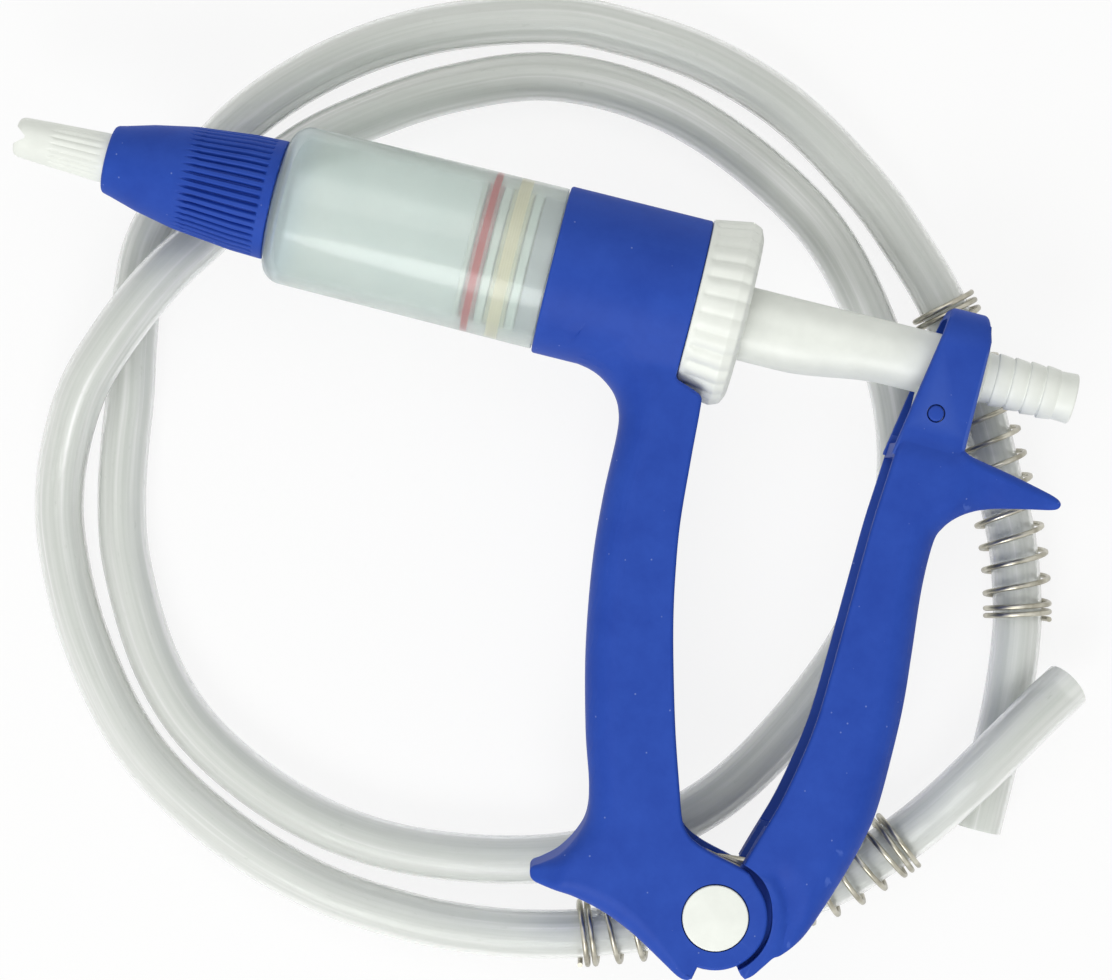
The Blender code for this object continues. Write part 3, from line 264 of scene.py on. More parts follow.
def tube_mesh(line, outside, bore, sides):
    """A tube with a bore along a line, whose UV map runs once round it and along it in steps of its own
    width."""
    mesh = bmesh.new()
    uv = mesh.loops.layers.uv.new("along")
    skins = []
    for radius in (outside, bore):
        skins.append([[mesh.verts.new(place) for place in ring] for ring in rings_round(line, radius, sides)])
    travelled = 0.0
    for index in range(len(line) - 1):
        reach = (line[index + 1] - line[index]).length
        for skin, order in ((skins[0], 1), (skins[1], -1)):
            here, ahead = skin[index], skin[index + 1]
            for corner in range(sides):
                after = (corner + 1) % sides
                loop = [here[corner], here[after], ahead[after], ahead[corner]]
                round_share = [corner / sides, (corner + 1) / sides, (corner + 1) / sides, corner / sides]
                along = [travelled, travelled, travelled + reach, travelled + reach]
                face = mesh.faces.new(loop[::order])
                for spot, u, v in zip(face.loops, round_share[::order], along[::order]):
                    spot[uv].uv = (u, v / (2.0 * outside))
        travelled += reach
    for end, order in ((0, -1), (-1, 1)):
        outer, inner = (skin[end] for skin in skins)
        for corner in range(sides):
            after = (corner + 1) % sides
            mesh.faces.new([outer[corner], outer[after], inner[after], inner[corner]][::order])
    return mesh


def blank(name, mesh):
    """An object from a mesh drawn in millimetres."""
    bmesh.ops.scale(mesh, vec=(MM, MM, MM), verts=mesh.verts)
    data = bpy.data.meshes.new(name)
    mesh.to_mesh(data)
    mesh.free()
    made = bpy.data.objects.new(name, data)
    bpy.context.scene.collection.objects.link(made)
    return made


def applied(piece):
    """The mesh that an object's modifiers make of it. The object is left without them."""
    shape = bpy.data.meshes.new_from_object(piece.evaluated_get(bpy.context.evaluated_depsgraph_get()))
    piece.modifiers.clear()
    return shape


def fit(piece, body, slot, material, *stands_for, crease=35.0, even=False):
    """Gives a finished shape its material and smooth shading, and puts it on its body in place of CAD nodes.
    With even, its large faces keep their own shading up to their rounded edges."""
    piece.data.materials.clear()
    piece.data.materials.append(material)
    piece.data.shade_smooth()
    piece.data.set_sharp_from_angle(angle=math.radians(crease))
    if even:
        change = piece.modifiers.new("even", "WEIGHTED_NORMAL")
        change.keep_sharp = True
        change.weight = 80
        piece.data = applied(piece)
    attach(piece, body)
    if stands_for:
        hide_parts(*stands_for)
    return piece


def hose_marks(width, length):
    """How often marks of this size fit on the hose: once round it, and along it in steps of its own width."""
    return (2.0 * math.pi * HOSE_RADIUS / width, 2.0 * HOSE_RADIUS / length, 1.0)


def clear_pvc():
    """Soft PVC, extruded and stored in a coil: clear when new, now an even misty grey that lets shapes
    through faintly, with faint streaks along it from the die, thin bright painted highlights along those
    streaks, and fine darker scuffs."""
    made, tree = new_material("clear_pvc")
    along = add(tree, "ShaderNodeUVMap", uv_map="along")
    drawn = add(tree, "ShaderNodeMapping", {"Vector": along, "Scale": hose_marks(*DIE_STREAK_AND_HIGHLIGHT)})
    streaks_and_highlights = {"Vector": drawn, "Scale": 1.0, "Detail": 3.0, "Roughness": 0.6}
    streaks_and_highlights = add(tree, "ShaderNodeTexNoise", streaks_and_highlights)
    relief = add(tree, "ShaderNodeBump", {"Strength": 0.10, "Distance": 0.6 * MM, "Height": streaks_and_highlights})
    # Painted highlight: the brightest streaks in the tone run to white, standing in for lamps reflected along
    # the hose.
    misty_with_highlights = ((0.38, "#E2E5E1"), (0.57, "#EEF0ED"), (0.68, "#FFFFFF"))
    tone = add(tree, "ShaderNodeValToRGB", {"Fac": streaks_and_highlights}, stops=misty_with_highlights)
    wear_and_edge_highlight = add(tree, "ShaderNodeMapping", {"Vector": along, "Scale": hose_marks(*SCUFF)})
    scuffs = add(tree, "ShaderNodeTexNoise", {"Vector": wear_and_edge_highlight, "Scale": 1.0, "Detail": 4.0, "Roughness": 0.7})
    share = add(tree, "ShaderNodeMapRange", (scuffs, 0.62, 0.74, 0.0, 0.35))
    scuffed = add(tree, "ShaderNodeMix", {0: share, 6: tone, 7: linear("#B9BCB6")}, data_type="RGBA")
    looks = {"Base Color": scuffed.outputs[2], "Roughness": 0.20, "IOR": 1.16, "Transmission Weight": 0.44}
    looks |= {"Specular IOR Level": 0.2, "Coat Weight": 0.24, "Coat Roughness": 0.12, "Normal": relief}
    add(tree, "ShaderNodeOutputMaterial", {"Surface": add(tree, "ShaderNodeBsdfPrincipled", looks)})
    return made


hose_line = [point + Vector((0.0, 0.0, FLOOR)) for point in smooth_route(HOSE_ROUTE)]
hose_whole = stretch_of(hose_line, 0.0, HOSE_LENGTH / MM, HOSE_STEP)
hose = blank("feed_hose", tube_mesh(hose_whole, HOSE_RADIUS, HOSE_BORE, HOSE_SIDES))
fit(hose, "gun_body", "clear_hose", clear_pvc(), "hose", crease=SOFT_CREASE)

# The two springs on the hose: drawn steel wire in open coils with two closed turns at each end, slipped over
# the hose to keep it from kinking. The wire is bare and slightly dull.
COIL_RADIUS = 8.5
COIL_WIRE = 0.65
COIL_PITCH = 6.1
COIL_CLOSED_PITCH = 2.0 * COIL_WIRE + 0.6
COIL_END_TURNS = 2
POINTS_PER_TURN = 24
WIRE_SIDES = 10
# Where each spring starts and ends along the hose.
HOSE_SPRINGS = (("hose_spring_rear", 53.0, 133.0), ("hose_spring_front", 1247.0, 1331.0))
# How wide the blotches of the dull wire are.
WIRE_MOTTLE = 3.846


def geometry_tree(name, *inputs):
    """A geometry tree with these inputs, a name and a kind each, and a shape as its result."""
    tree = bpy.data.node_groups.new(name, "GeometryNodeTree")
    for label, kind in inputs:
        tree.interface.new_socket(label, in_out="INPUT", socket_type=f"NodeSocket{kind}")
    tree.interface.new_socket("Result", in_out="OUTPUT", socket_type="NodeSocketGeometry")
    return tree, add(tree, "NodeGroupInput").outputs


def end_tree(tree, shape, material):
    """Ends a geometry tree in its shape, made real and with its material."""
    whole = add(tree, "GeometryNodeRealizeInstances", {"Geometry": shape})
    dressed = add(tree, "GeometryNodeSetMaterial", {"Geometry": whole, "Material": material})
    add(tree, "NodeGroupOutput", {"Result": dressed})


def wound_wire_tree():
    """Geometry nodes that wind a round wire right-handed about a line, closer together over its end turns."""
    counts = [(name, "Int") for name in ("Turns", "End turns", "Points per turn")]
    sizes = [(name, "Float") for name in ("Coil radius", "Wire radius", "Closed pitch", "Open pitch")]
    tree, given = geometry_tree("wound_wire", ("Line", "Geometry"), *counts, *sizes, ("Metal", "Material"))
    turns, end_turns, per_turn = (given[name] for name, kind in counts)
    path = add(tree, "GeometryNodeMeshToCurve", {"Mesh": given["Line"]})
    steps = add(tree, "ShaderNodeMath", (turns, per_turn), operation="MULTIPLY")
    count = add(tree, "ShaderNodeMath", (steps, 1.0), operation="ADD")
    coil = add(tree, "GeometryNodeMeshToCurve", {"Mesh": add(tree, "GeometryNodeMeshLine", {"Count": count})})
    turn = add(tree, "ShaderNodeMath", (add(tree, "GeometryNodeInputIndex"), per_turn), operation="DIVIDE")
    first_end = add(tree, "ShaderNodeMath", (turn, end_turns), operation="MINIMUM")
    both_ends = add(tree, "ShaderNodeMath", (end_turns, 2.0), operation="MULTIPLY")
    open_turns = add(tree, "ShaderNodeMath", (turns, both_ends), operation="SUBTRACT")
    middle_part = add(tree, "ShaderNodeMath", (turn, end_turns), operation="SUBTRACT")
    middle_part = add(tree, "ShaderNodeMath", (middle_part, 0.0), operation="MAXIMUM")
    middle_part = add(tree, "ShaderNodeMath", (middle_part, open_turns), operation="MINIMUM")
    last_start = add(tree, "ShaderNodeMath", (open_turns, end_turns), operation="ADD")
    last_end = add(tree, "ShaderNodeMath", (turn, last_start), operation="SUBTRACT")
    last_end = add(tree, "ShaderNodeMath", (last_end, 0.0), operation="MAXIMUM")
    closed_turns = add(tree, "ShaderNodeMath", (first_end, last_end), operation="ADD")
    closed = add(tree, "ShaderNodeMath", (closed_turns, given["Closed pitch"]), operation="MULTIPLY")
    opened = add(tree, "ShaderNodeMath", (middle_part, given["Open pitch"]), operation="MULTIPLY")
    along = add(tree, "ShaderNodeMath", (closed, opened), operation="ADD")
    here = add(tree, "GeometryNodeSampleCurve", {"Curves": path, "Length": along}, mode="LENGTH").outputs
    upright = add(tree, "ShaderNodeCombineXYZ", {"Z": 1.0})
    side = add(tree, "ShaderNodeVectorMath", (here["Tangent"], upright), operation="CROSS_PRODUCT")
    side = add(tree, "ShaderNodeVectorMath", (side,), operation="NORMALIZE")
    over = add(tree, "ShaderNodeVectorMath", (side, here["Tangent"]), operation="CROSS_PRODUCT")
    reach = add(tree, "ShaderNodeMath", (given["Coil radius"], given["Wire radius"]), operation="SUBTRACT")
    angle = add(tree, "ShaderNodeMath", (turn, -2.0 * math.pi), operation="MULTIPLY")
    place = here["Position"]
    for way, wave in ((side, "COSINE"), (over, "SINE")):
        swing = add(tree, "ShaderNodeMath", (angle,), operation=wave)
        swing = add(tree, "ShaderNodeMath", (reach, swing), operation="MULTIPLY")
        arm = add(tree, "ShaderNodeVectorMath", {0: way, "Scale": swing}, operation="SCALE")
        place = add(tree, "ShaderNodeVectorMath", (place, arm), operation="ADD")
    wound = add(tree, "GeometryNodeSetPosition", {"Geometry": coil, "Position": place})
    section = {"Resolution": WIRE_SIDES, "Radius": given["Wire radius"]}
    section = add(tree, "GeometryNodeCurvePrimitiveCircle", section)
    wire = {"Curve": wound, "Profile Curve": section, "Fill Caps": True}
    end_tree(tree, add(tree, "GeometryNodeCurveToMesh", wire), given["Metal"])
    return tree


def settled(piece):
    """Turns what an object's modifiers make of it into its plain mesh, with the slivers that a cut leaves
    merged."""
    shape = applied(piece)
    mesh = bmesh.new()
    mesh.from_mesh(shape)
    bmesh.ops.remove_doubles(mesh, verts=mesh.verts, dist=0.002 * MM)
    bmesh.ops.dissolve_degenerate(mesh, edges=mesh.edges, dist=0.002 * MM)
    mesh.to_mesh(shape)
    mesh.free()
    piece.data = shape
    return piece


def shape_by(piece, tree, values):
    """Runs a geometry tree on an object with these inputs and keeps its result as the object's plain mesh."""
    change = piece.modifiers.new(tree.name, "NODES")
    change.node_group = tree
    for item in tree.interface.items_tree:
        if item.in_out == "INPUT" and item.name in values:
            change[item.identifier] = values[item.name]
    return settled(piece)


def wound_wire(name, line, coil_radius, wire_radius, pitch, metal, end_turns=0, closed_pitch=0.0):
    """A coil spring about a line."""
    length = sum((second - first).length for first, second in zip(line, line[1:]))
    open_turns = max(1, round((length - 2.0 * end_turns * closed_pitch) / pitch))
    mesh = bmesh.new()
    spots = [mesh.verts.new(point) for point in line]
    for first, second in zip(spots, spots[1:]):
        mesh.edges.new((first, second))
    values = {
        "Turns": 2 * end_turns + open_turns,
        "End turns": end_turns,
        "Points per turn": POINTS_PER_TURN,
        "Coil radius": coil_radius * MM,
        "Wire radius": wire_radius * MM,
        "Closed pitch": closed_pitch * MM,
        "Open pitch": (length - 2.0 * end_turns * closed_pitch) / open_turns * MM,
        "Metal": metal,
    }
    return shape_by(blank(name, mesh), wire_tree, values)


def drawn_steel():
    """Spring steel, drawn through a die and wound bare: grey with a warm cast, finely mottled and dulled."""
    made, tree = new_material("drawn_spring_steel")
    spot = add(tree, "ShaderNodeTexCoord").outputs["Object"]
    dull = add(tree, "ShaderNodeTexNoise", {"Vector": spot, "Scale": 1.0 / (WIRE_MOTTLE * MM), "Detail": 3.0})
    tone = add(tree, "ShaderNodeValToRGB", {"Fac": dull}, stops=((0.35, "#9B9788"), (0.7, "#CFCCBE")))
    rough = add(tree, "ShaderNodeMapRange", (dull, 0.0, 1.0, 0.24, 0.42))
    skin = add(tree, "ShaderNodeBsdfPrincipled", {"Base Color": tone, "Metallic": 1.0, "Roughness": rough})
    add(tree, "ShaderNodeOutputMaterial", {"Surface": skin})
    return made


wire_tree = wound_wire_tree()
spring_steel = drawn_steel()
for name, start, end in HOSE_SPRINGS:
    axis_line = stretch_of(hose_line, start, end, 2.0)
    for point in axis_line:
        point.z = FLOOR + COIL_RADIUS
    sizes = (COIL_RADIUS, COIL_WIRE, COIL_PITCH)
    coil = wound_wire(f"{name}_wire", axis_line, *sizes, spring_steel, COIL_END_TURNS, COIL_CLOSED_PITCH)
    fit(coil, "gun_body", "spring_steel", spring_steel, name, crease=SOFT_CREASE)

# The handle frame: one moulding in blue polypropylene with a satin, finely grained skin. It is the ring that
# holds the barrel, the front grip, open at its back like a channel, the stop for the little finger and the
# two hinge cheeks.
GRIP_HALF = 14.5
GRIP_WALL = 2.6
GAP = 0.3
barrel_low, barrel_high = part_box("barrel")
BARREL_Y = (barrel_low.y + barrel_high.y) / 2.0 / MM
BOSS_RADIUS = 12.4
BOSS_LIP = 0.8
CHEEK_INNER = 10.5
COIL_SLOT_RADIUS = 14.0
PIN_RADIUS = 4.0
HINGE_CAP_RADIUS = 7.8
HINGE_CAP_SEAT = 1.6
RING_RADIUS = 20.5
RING_BORE = 19.35
RING_FRONT = -74.9
RING_REAR = -39.9
RING_BLEND = 4.0
NUT_RADIUS = 22.6
# How far from the gun's middle the cutters reach that go right through it.
THROUGH = 20.0
# Where the grip runs out into the ring, where it thins to the finger stop, and where that ends above the
# stop.
RUN_OUT = (-74.0, -60.0)
STOP_THINS = (36.0, 46.0)
STOP_ENDS = (8.0, 17.0)
# Rows in which the grip's skin is divided for its soft curves: direction, from, to and step.
GRIP_ROWS = [("y", 120.0, 146.0, 1.0), ("x", -72.4, -58.6, 1.15), ("x", -45.9, -35.9, 1.0)]
# The blue plastic: how wide its flow marks are, and how far apart the specks of dust. Its grain is drawn
# coarser than the real one, which is too fine to show.
FLOW_MARK = 11.11
DUST_APART = 4.348
FRAME_GRAIN = 0.3846
# Grip outlines are x, y and the radius of the rounded edge there.
GRIP_FRONT_EDGE = [
    (-73.0, 125.5, 1.5), (-68.0, 121.2, 7.0), (-63.8, 119.9, 11.5), (-60.2, 119.2, 12.0),
    (-56.8, 117.8, 11.5), (-53.2, 115.0, 10.5), (-51.0, 111.2, 9.5), (-50.0, 105.5, 8.5), (-49.6, 90.0, 7.5),
    (-48.2, 73.6, 7.5), (-44.8, 53.5, 7.5), (-40.1, 34.7, 7.5), (-36.3, 22.8, 7.5), (-35.1, 16.0, 7.0),
    (-36.2, 11.0, 6.0), (-39.2, 5.6, 3.6), (-42.9, 2.3, 1.9), (-44.8, 1.0, 1.2), (-45.1, -0.6, 1.0),
    (-43.7, -2.3, 1.2), (-39.0, -3.0, 2.6), (-33.3, -3.6, 4.4), (-25.4, -5.6, 5.0), (-17.5, -8.9, 4.5),
    (-9.6, -13.3, 3.0), (-5.4, -15.6, 1.8), (-3.2, -16.0, 1.2), (-1.9, -15.3, 0.8),
]
GRIP_REAR_EDGE = [
    (0.0, 13.6, 0.8), (-4.9, 14.8, 0.8), (-8.9, 16.3, 1.0), (-11.4, 18.1, 1.0), (-13.4, 21.2, 1.0),
    (-15.7, 28.0, 1.0), (-19.7, 40.3, 1.0), (-23.6, 54.1, 1.0), (-26.6, 65.9, 1.0), (-28.8, 76.8, 1.0),
    (-30.6, 88.6, 1.0), (-31.8, 104.3, 1.0), (-32.5, 115.6, 1.0), (-33.1, 118.8, 1.0), (-36.0, 120.2, 1.0),
    (-39.2, 121.3, 0.8), (-39.93, 122.2, 0.5),
]
GRIP_CHANNEL = [
    (-46.6, 113.5, 0.6), (-47.2, 104.0, 4.5), (-46.9, 88.7, 4.5), (-45.5, 73.9, 4.5), (-41.9, 53.0, 4.5),
    (-37.3, 34.7, 4.5), (-33.6, 22.8, 4.5), (-32.4, 15.5, 4.0), (-33.4, 9.6, 3.0), (-36.0, 4.6, 2.0),
    (-37.2, 1.6, 1.2), (-34.5, -0.2, 1.2), (-29.0, -1.4, 2.0), (-21.0, -4.2, 2.0),
]
GRIP_CHANNEL_MOUTH = [
    (-17.5, -4.6, 0.6), (-16.6, 4.0, 0.6), (-12.8, 11.0, 0.6), (-3.0, 18.2, 0.6), (3.0, 21.0, 0.6),
    (3.0, 60.0, 0.6), (-8.0, 113.5, 0.6),
]
# The throat behind the hinge, where the lever's lugs swing: x and y.
THROAT = [(-24.0, -2.6), (-12.0, -6.2), (0.0, -6.2), (18.0, -5.0), (18.0, 23.0), (-24.0, 23.0)]


def quarter_angles(steps):
    """The angles of points spaced evenly along a quarter of a circle."""
    return [math.radians(90.0 * step / steps) for step in range(steps + 1)]


def drawn_line(points, steps):
    """A smooth line through points, as more points."""
    ends = [points[0]] + list(points) + [points[-1]]
    line = []
    for index in range(1, len(ends) - 2):
        before, first, second, after = (Vector(ends[index + shift]) for shift in (-1, 0, 1, 2))
        for step in range(steps):
            t = step / steps
            value = first + (second - before) * (t / 2.0)
            value += (before * 2.0 - first * 5.0 + second * 4.0 - after) * (t * t / 2.0)
            value += (first * 3.0 - before - second * 3.0 + after) * (t**3 / 2.0)
            line.append(value)
    line.append(Vector(points[-1]))
    return line


def hinge_arc(radius, start, end, steps, edge):
    """Outline points on a circle about the hinge, angles in degrees."""
    line = []
    for step in range(steps + 1):
        angle = math.radians(start + (end - start) * step / steps)
        line.append(Vector((radius * math.cos(angle), radius * math.sin(angle), edge)))
    return line


def skin_through(rings):
    """A closed mesh through rings of equally many points, with a face over each end."""
    mesh = bmesh.new()
    spots = [[mesh.verts.new(place) for place in ring] for ring in rings]
    for first, second in zip(spots, spots[1:]):
        for index in range(len(first)):
            after = (index + 1) % len(first)
            mesh.faces.new((first[index], first[after], second[after], second[index]))
    mesh.faces.new(spots[0])
    mesh.faces.new(list(reversed(spots[-1])))
    bmesh.ops.recalc_face_normals(mesh, faces=mesh.faces)
    return mesh


def moulded_slab(outline, half, steps=7):
    """A slab with this outline, half thick to each side of the gun's middle, its edges rounded by each
    point's radius."""
    count = len(outline)
    turning = sum(outline[i - 1].x * outline[i].y - outline[i].x * outline[i - 1].y for i in range(count))
    side = 1.0 if turning > 0.0 else -1.0
    inward = []
    for index, here in enumerate(outline):
        back = (here.xy - outline[index - 1].xy).normalized()
        ahead = (outline[(index + 1) % count].xy - here.xy).normalized()
        first = Vector((-back.y, back.x)) * side
        normal = (first + Vector((-ahead.y, ahead.x)) * side).normalized()
        inward.append(normal / max(0.6, normal.dot(first)))
    rings = []
    for sign in (1.0, -1.0):
        rows = []
        for angle in quarter_angles(steps):
            row = []
            for here, normal in zip(outline, inward):
                inset = here.xy + normal * (here.z * (1.0 - math.cos(angle)))
                row.append((inset.x, inset.y, sign * (half - here.z * (1.0 - math.sin(angle)))))
            rows.append(row)
        rings += list(reversed(rows)) if sign > 0.0 else rows
    return skin_through(rings)


def sculpt(mesh, rows, change):
    """Cuts a slab's skin along rows ("x" or "y", from, to, step) and moves its points by change(x, y, z)."""
    for direction, start, end, step in rows:
        normal = (1.0, 0.0, 0.0) if direction == "x" else (0.0, 1.0, 0.0)
        for index in range(round((end - start) / step) + 1):
            place = [part * (start + index * step) for part in normal]
            parts = mesh.verts[:] + mesh.edges[:] + mesh.faces[:]
            bmesh.ops.bisect_plane(mesh, geom=parts, dist=1e-5, plane_co=place, plane_no=normal)
    for point in mesh.verts:
        point.co.z = change(*point.co)
    return mesh


def raised(mesh):
    """Lifts a shape drawn about the gun's middle plane to where that plane is."""
    bmesh.ops.translate(mesh, vec=(0.0, 0.0, MID), verts=mesh.verts)
    return mesh


def softened(corners, steps=5):
    """A closed path through corners (a, b) or (a, b, radius), with the radii drawn in."""
    path = []
    for index, corner in enumerate(corners):
        here = Vector(corner[:2])
        if len(corner) < 3:
            path.append((here.x, here.y))
            continue
        back = (Vector(corners[index - 1][:2]) - here).normalized()
        ahead = (Vector(corners[(index + 1) % len(corners)][:2]) - here).normalized()
        half_angle = back.angle(ahead) / 2.0
        if half_angle > math.radians(89.5):
            path.append((here.x, here.y))
            continue
        centre = here + (back + ahead).normalized() * (corner[2] / math.sin(half_angle))
        start = here + back * (corner[2] / math.tan(half_angle)) - centre
        end = here + ahead * (corner[2] / math.tan(half_angle)) - centre
        sweep = start.angle(end)
        for step in range(steps + 1):
            share = step / steps
            arm = start * math.sin((1.0 - share) * sweep) + end * math.sin(share * sweep)
            path.append(tuple(centre + arm / math.sin(sweep)))
    return path


def lathed(profile, sides, axis="barrel", longest=None, at=(0.0, 0.0)):
    """A body of revolution from a closed profile of (along, radius) points, about the barrel's axis or an
    upright one, which is the hinge's unless it stands at another place. With longest, runs longer than that
    are divided."""
    points = []
    for first, second in zip(profile, profile[1:] + profile[:1]):
        pieces = 1 if longest is None else max(1, math.ceil(math.dist(first, second) / longest))
        for step in range(pieces):
            points.append(tuple(a + (b - a) * step / pieces for a, b in zip(first, second)))
    mesh = bmesh.new()
    rings = []
    for along, radius in points:
        ring = []
        for angle in round_angles(sides if radius > 1e-4 else 1):
            across = (radius * math.cos(angle), radius * math.sin(angle))
            if axis == "barrel":
                ring.append(mesh.verts.new((along, BARREL_Y + across[0], MID + across[1])))
            else:
                ring.append(mesh.verts.new((at[0] + across[0], at[1] + across[1], MID + along)))
        rings.append(ring)
    for first, second in zip(rings, rings[1:] + rings[:1]):
        if len(first) == 1 and len(second) == 1:
            continue
        for index in range(sides):
            after = (index + 1) % sides
            loop = [first[index % len(first)], first[after % len(first)]]
            loop += [second[after % len(second)], second[index % len(second)]]
            mesh.faces.new(list(dict.fromkeys(loop)))
    bmesh.ops.recalc_face_normals(mesh, faces=mesh.faces)
    return mesh


def drill(radius, low, high, sides, axis="hinge", at=(0.0, 0.0)):
    """A round cutter."""
    return lathed([(low, 0.0), (low, radius), (high, radius), (high, 0.0)], sides, axis, at=at)


def prism(outline, low, high):
    """A straight block with this outline in x and y, between two heights over the gun's middle plane."""
    return raised(skin_through([[(x, y, z) for x, y in outline] for z in (low, high)]))


def carve(piece, operation, *meshes):
    """Cuts meshes out of a piece, or joins them to it, and keeps the result."""
    helpers = [blank("carving", mesh) for mesh in meshes]
    for helper in helpers:
        change = piece.modifiers.new("carve", "BOOLEAN")
        change.operation = operation
        change.solver = "EXACT"
        change.object = helper
    settled(piece)
    for helper in helpers:
        bpy.data.objects.remove(helper)
    return piece


def eased(value, low, high):
    """0 below low, 1 above high, and a smooth step between."""
    share = min(1.0, max(0.0, (value - low) / (high - low)))
    return share * share * (3.0 - 2.0 * share)


def moulded_polypropylene():
    """Polypropylene, injection moulded in a finely eroded tool and coloured through: satin royal blue with a
    slightly mottled tone, a few pale specks of dust, and its sharp edges painted lighter as a highlight."""
    made, tree = new_material("moulded_polypropylene")
    spot = add(tree, "ShaderNodeTexCoord").outputs["Object"]
    flow = {"Vector": spot, "Scale": 1.0 / (FLOW_MARK * MM), "Detail": 4.0, "Roughness": 0.65}
    flow = add(tree, "ShaderNodeTexNoise", flow)
    tone = add(tree, "ShaderNodeValToRGB", {"Fac": flow}, stops=((0.30, "#1E43A4"), (0.72, "#274DB0")))
    # Painted highlight: the sharp convex edges are mixed towards a lighter blue.
    corners = add(tree, "ShaderNodeNewGeometry").outputs["Pointiness"]
    edge_highlight = add(tree, "ShaderNodeMapRange", (corners, 0.52, 0.60, 0.0, 0.35))
    wear_and_edge_highlight = add(tree, "ShaderNodeMix", {0: edge_highlight, 6: tone, 7: linear("#5D7BD0")}, data_type="RGBA").outputs[2]
    dust = {"Vector": spot, "Scale": 1.0 / (DUST_APART * MM), "Randomness": 1.0}
    specks = add(tree, "ShaderNodeMapRange", (add(tree, "ShaderNodeTexVoronoi", dust), 0.03, 0.06, 0.38, 0.0))
    dusty = add(tree, "ShaderNodeMix", {0: specks, 6: wear_and_edge_highlight, 7: linear("#9DB0DE")}, data_type="RGBA")
    grain = {"Vector": spot, "Scale": 1.0 / (FRAME_GRAIN * MM), "Detail": 2.0}
    grain = add(tree, "ShaderNodeTexNoise", grain)
    relief = add(tree, "ShaderNodeBump", {"Strength": 0.22, "Distance": 0.1 * MM, "Height": grain})
    rough = add(tree, "ShaderNodeMapRange", (flow, 0.0, 1.0, 0.52, 0.62))
    looks = {"Base Color": dusty.outputs[2], "Roughness": rough, "IOR": 1.49}
    looks |= {"Specular IOR Level": 0.22, "Normal": relief}
    add(tree, "ShaderNodeOutputMaterial", {"Surface": add(tree, "ShaderNodeBsdfPrincipled", looks)})
    return made


def flow_into_ring(x, y, z):
    """The grip's cheeks swell in a soft curve to just under the ring's round skin, run out into it at the
    front, and thin to the tip of the finger stop."""
    round_skin = math.sqrt(max(0.0, (RING_RADIUS - 0.1) ** 2 - (BARREL_Y - y) ** 2))
    near = max(0.0, RING_BLEND - abs(GRIP_HALF - round_skin)) / RING_BLEND
    cheek = max(GRIP_HALF, round_skin) + near * near * RING_BLEND / 4.0
    run_out = eased(x, *RUN_OUT)
    foot = 0.36 * eased(-x, *STOP_THINS) * (1.0 - eased(y, *STOP_ENDS))
    return z * (round_skin * (1.0 - run_out) + cheek * run_out) / GRIP_HALF * (1.0 - foot)


blue_plastic = moulded_polypropylene()
grip_outline = drawn_line(GRIP_FRONT_EDGE, 6)
grip_outline += hinge_arc(BOSS_RADIUS, -96.0, 50.0, 60, 0.8)
grip_outline += hinge_arc(BOSS_RADIUS + BOSS_LIP, 66.0, 78.0, 5, 0.8)
grip_outline += drawn_line(GRIP_REAR_EDGE, 5)
grip_outline += [Vector((-39.93, BARREL_Y + 6.0, 0.5)), Vector((-73.0, BARREL_Y + 6.0, 1.0))]
grip = sculpt(moulded_slab(grip_outline, GRIP_HALF), GRIP_ROWS, flow_into_ring)
handle = blank("handle_and_ring", raised(grip))
channel_outline = drawn_line(GRIP_CHANNEL, 4) + [Vector(point) for point in GRIP_CHANNEL_MOUTH]
cap_seat = GRIP_HALF - HINGE_CAP_SEAT
hinge_hole = [(-THROUGH, 0.0), (-THROUGH, HINGE_CAP_RADIUS + GAP), (-cap_seat, HINGE_CAP_RADIUS + GAP)]
hinge_hole += [(-cap_seat, PIN_RADIUS + GAP)]
hinge_hole += [(-along, radius) for along, radius in reversed(hinge_hole)]
carve(
    handle,
    "DIFFERENCE",
    drill(RING_BORE, -90.0, -30.0, 128, "barrel"),
    drill(NUT_RADIUS + 0.5, RING_REAR + 0.05, -20.0, 128, "barrel"),
    raised(moulded_slab(channel_outline, GRIP_HALF - GRIP_WALL)),
    prism(THROAT, -CHEEK_INNER, CHEEK_INNER),
    drill(COIL_SLOT_RADIUS, -CHEEK_INNER, CHEEK_INNER, 96),
    lathed(hinge_hole, 96, "hinge"),
)
ring_wall = softened(
    [
        (RING_FRONT, 19.2), (RING_FRONT, RING_RADIUS, 0.7), (RING_REAR, RING_RADIUS, 0.5), (RING_REAR, 15.8),
        (-43.2, 15.8), (-43.2, 17.5), (-60.0, 17.5), (-60.0, 16.0), (-62.8, 16.0), (-62.8, 19.2),
    ]
)
carve(handle, "UNION", lathed(ring_wall, 240))
fit(handle, "gun_body", "blue_plastic", blue_plastic, "handle_frame", crease=32.0, even=True)

# The hinge: a turned steel pin through cheeks and lugs, a white moulded cap pressed into each end of its
# hole, and the torsion spring of drawn wire round it, which opens the grip again.
CAP_PROUD = 0.4
PEG_RADIUS = 2.0
PEG_LENGTH = 4.0
SPRING_RADIUS = 12.6
SPRING_WIRE = 1.0
SPRING_TURNS = 4.0
SPRING_HALF = 5.5
SPRING_STEPS = 120
HANDLE_LEG = 34.0
LEVER_LEG = 17.0
# Where each leg leaves the coil, in degrees about the hinge.
LEVER_FOOT = 95.0
HANDLE_FOOT = 80.0
# The white plastic: how wide its clouds are. Its grain and the lathe rings are drawn coarser than the real
# ones, too.
WAX_CLOUD = 7.143
CAP_GRAIN = 0.6667
PIN_RINGS = 0.3927
# The width of one band of the wave texture at scale 1.
WAVE_BAND = 2.0 * math.pi / 20.0


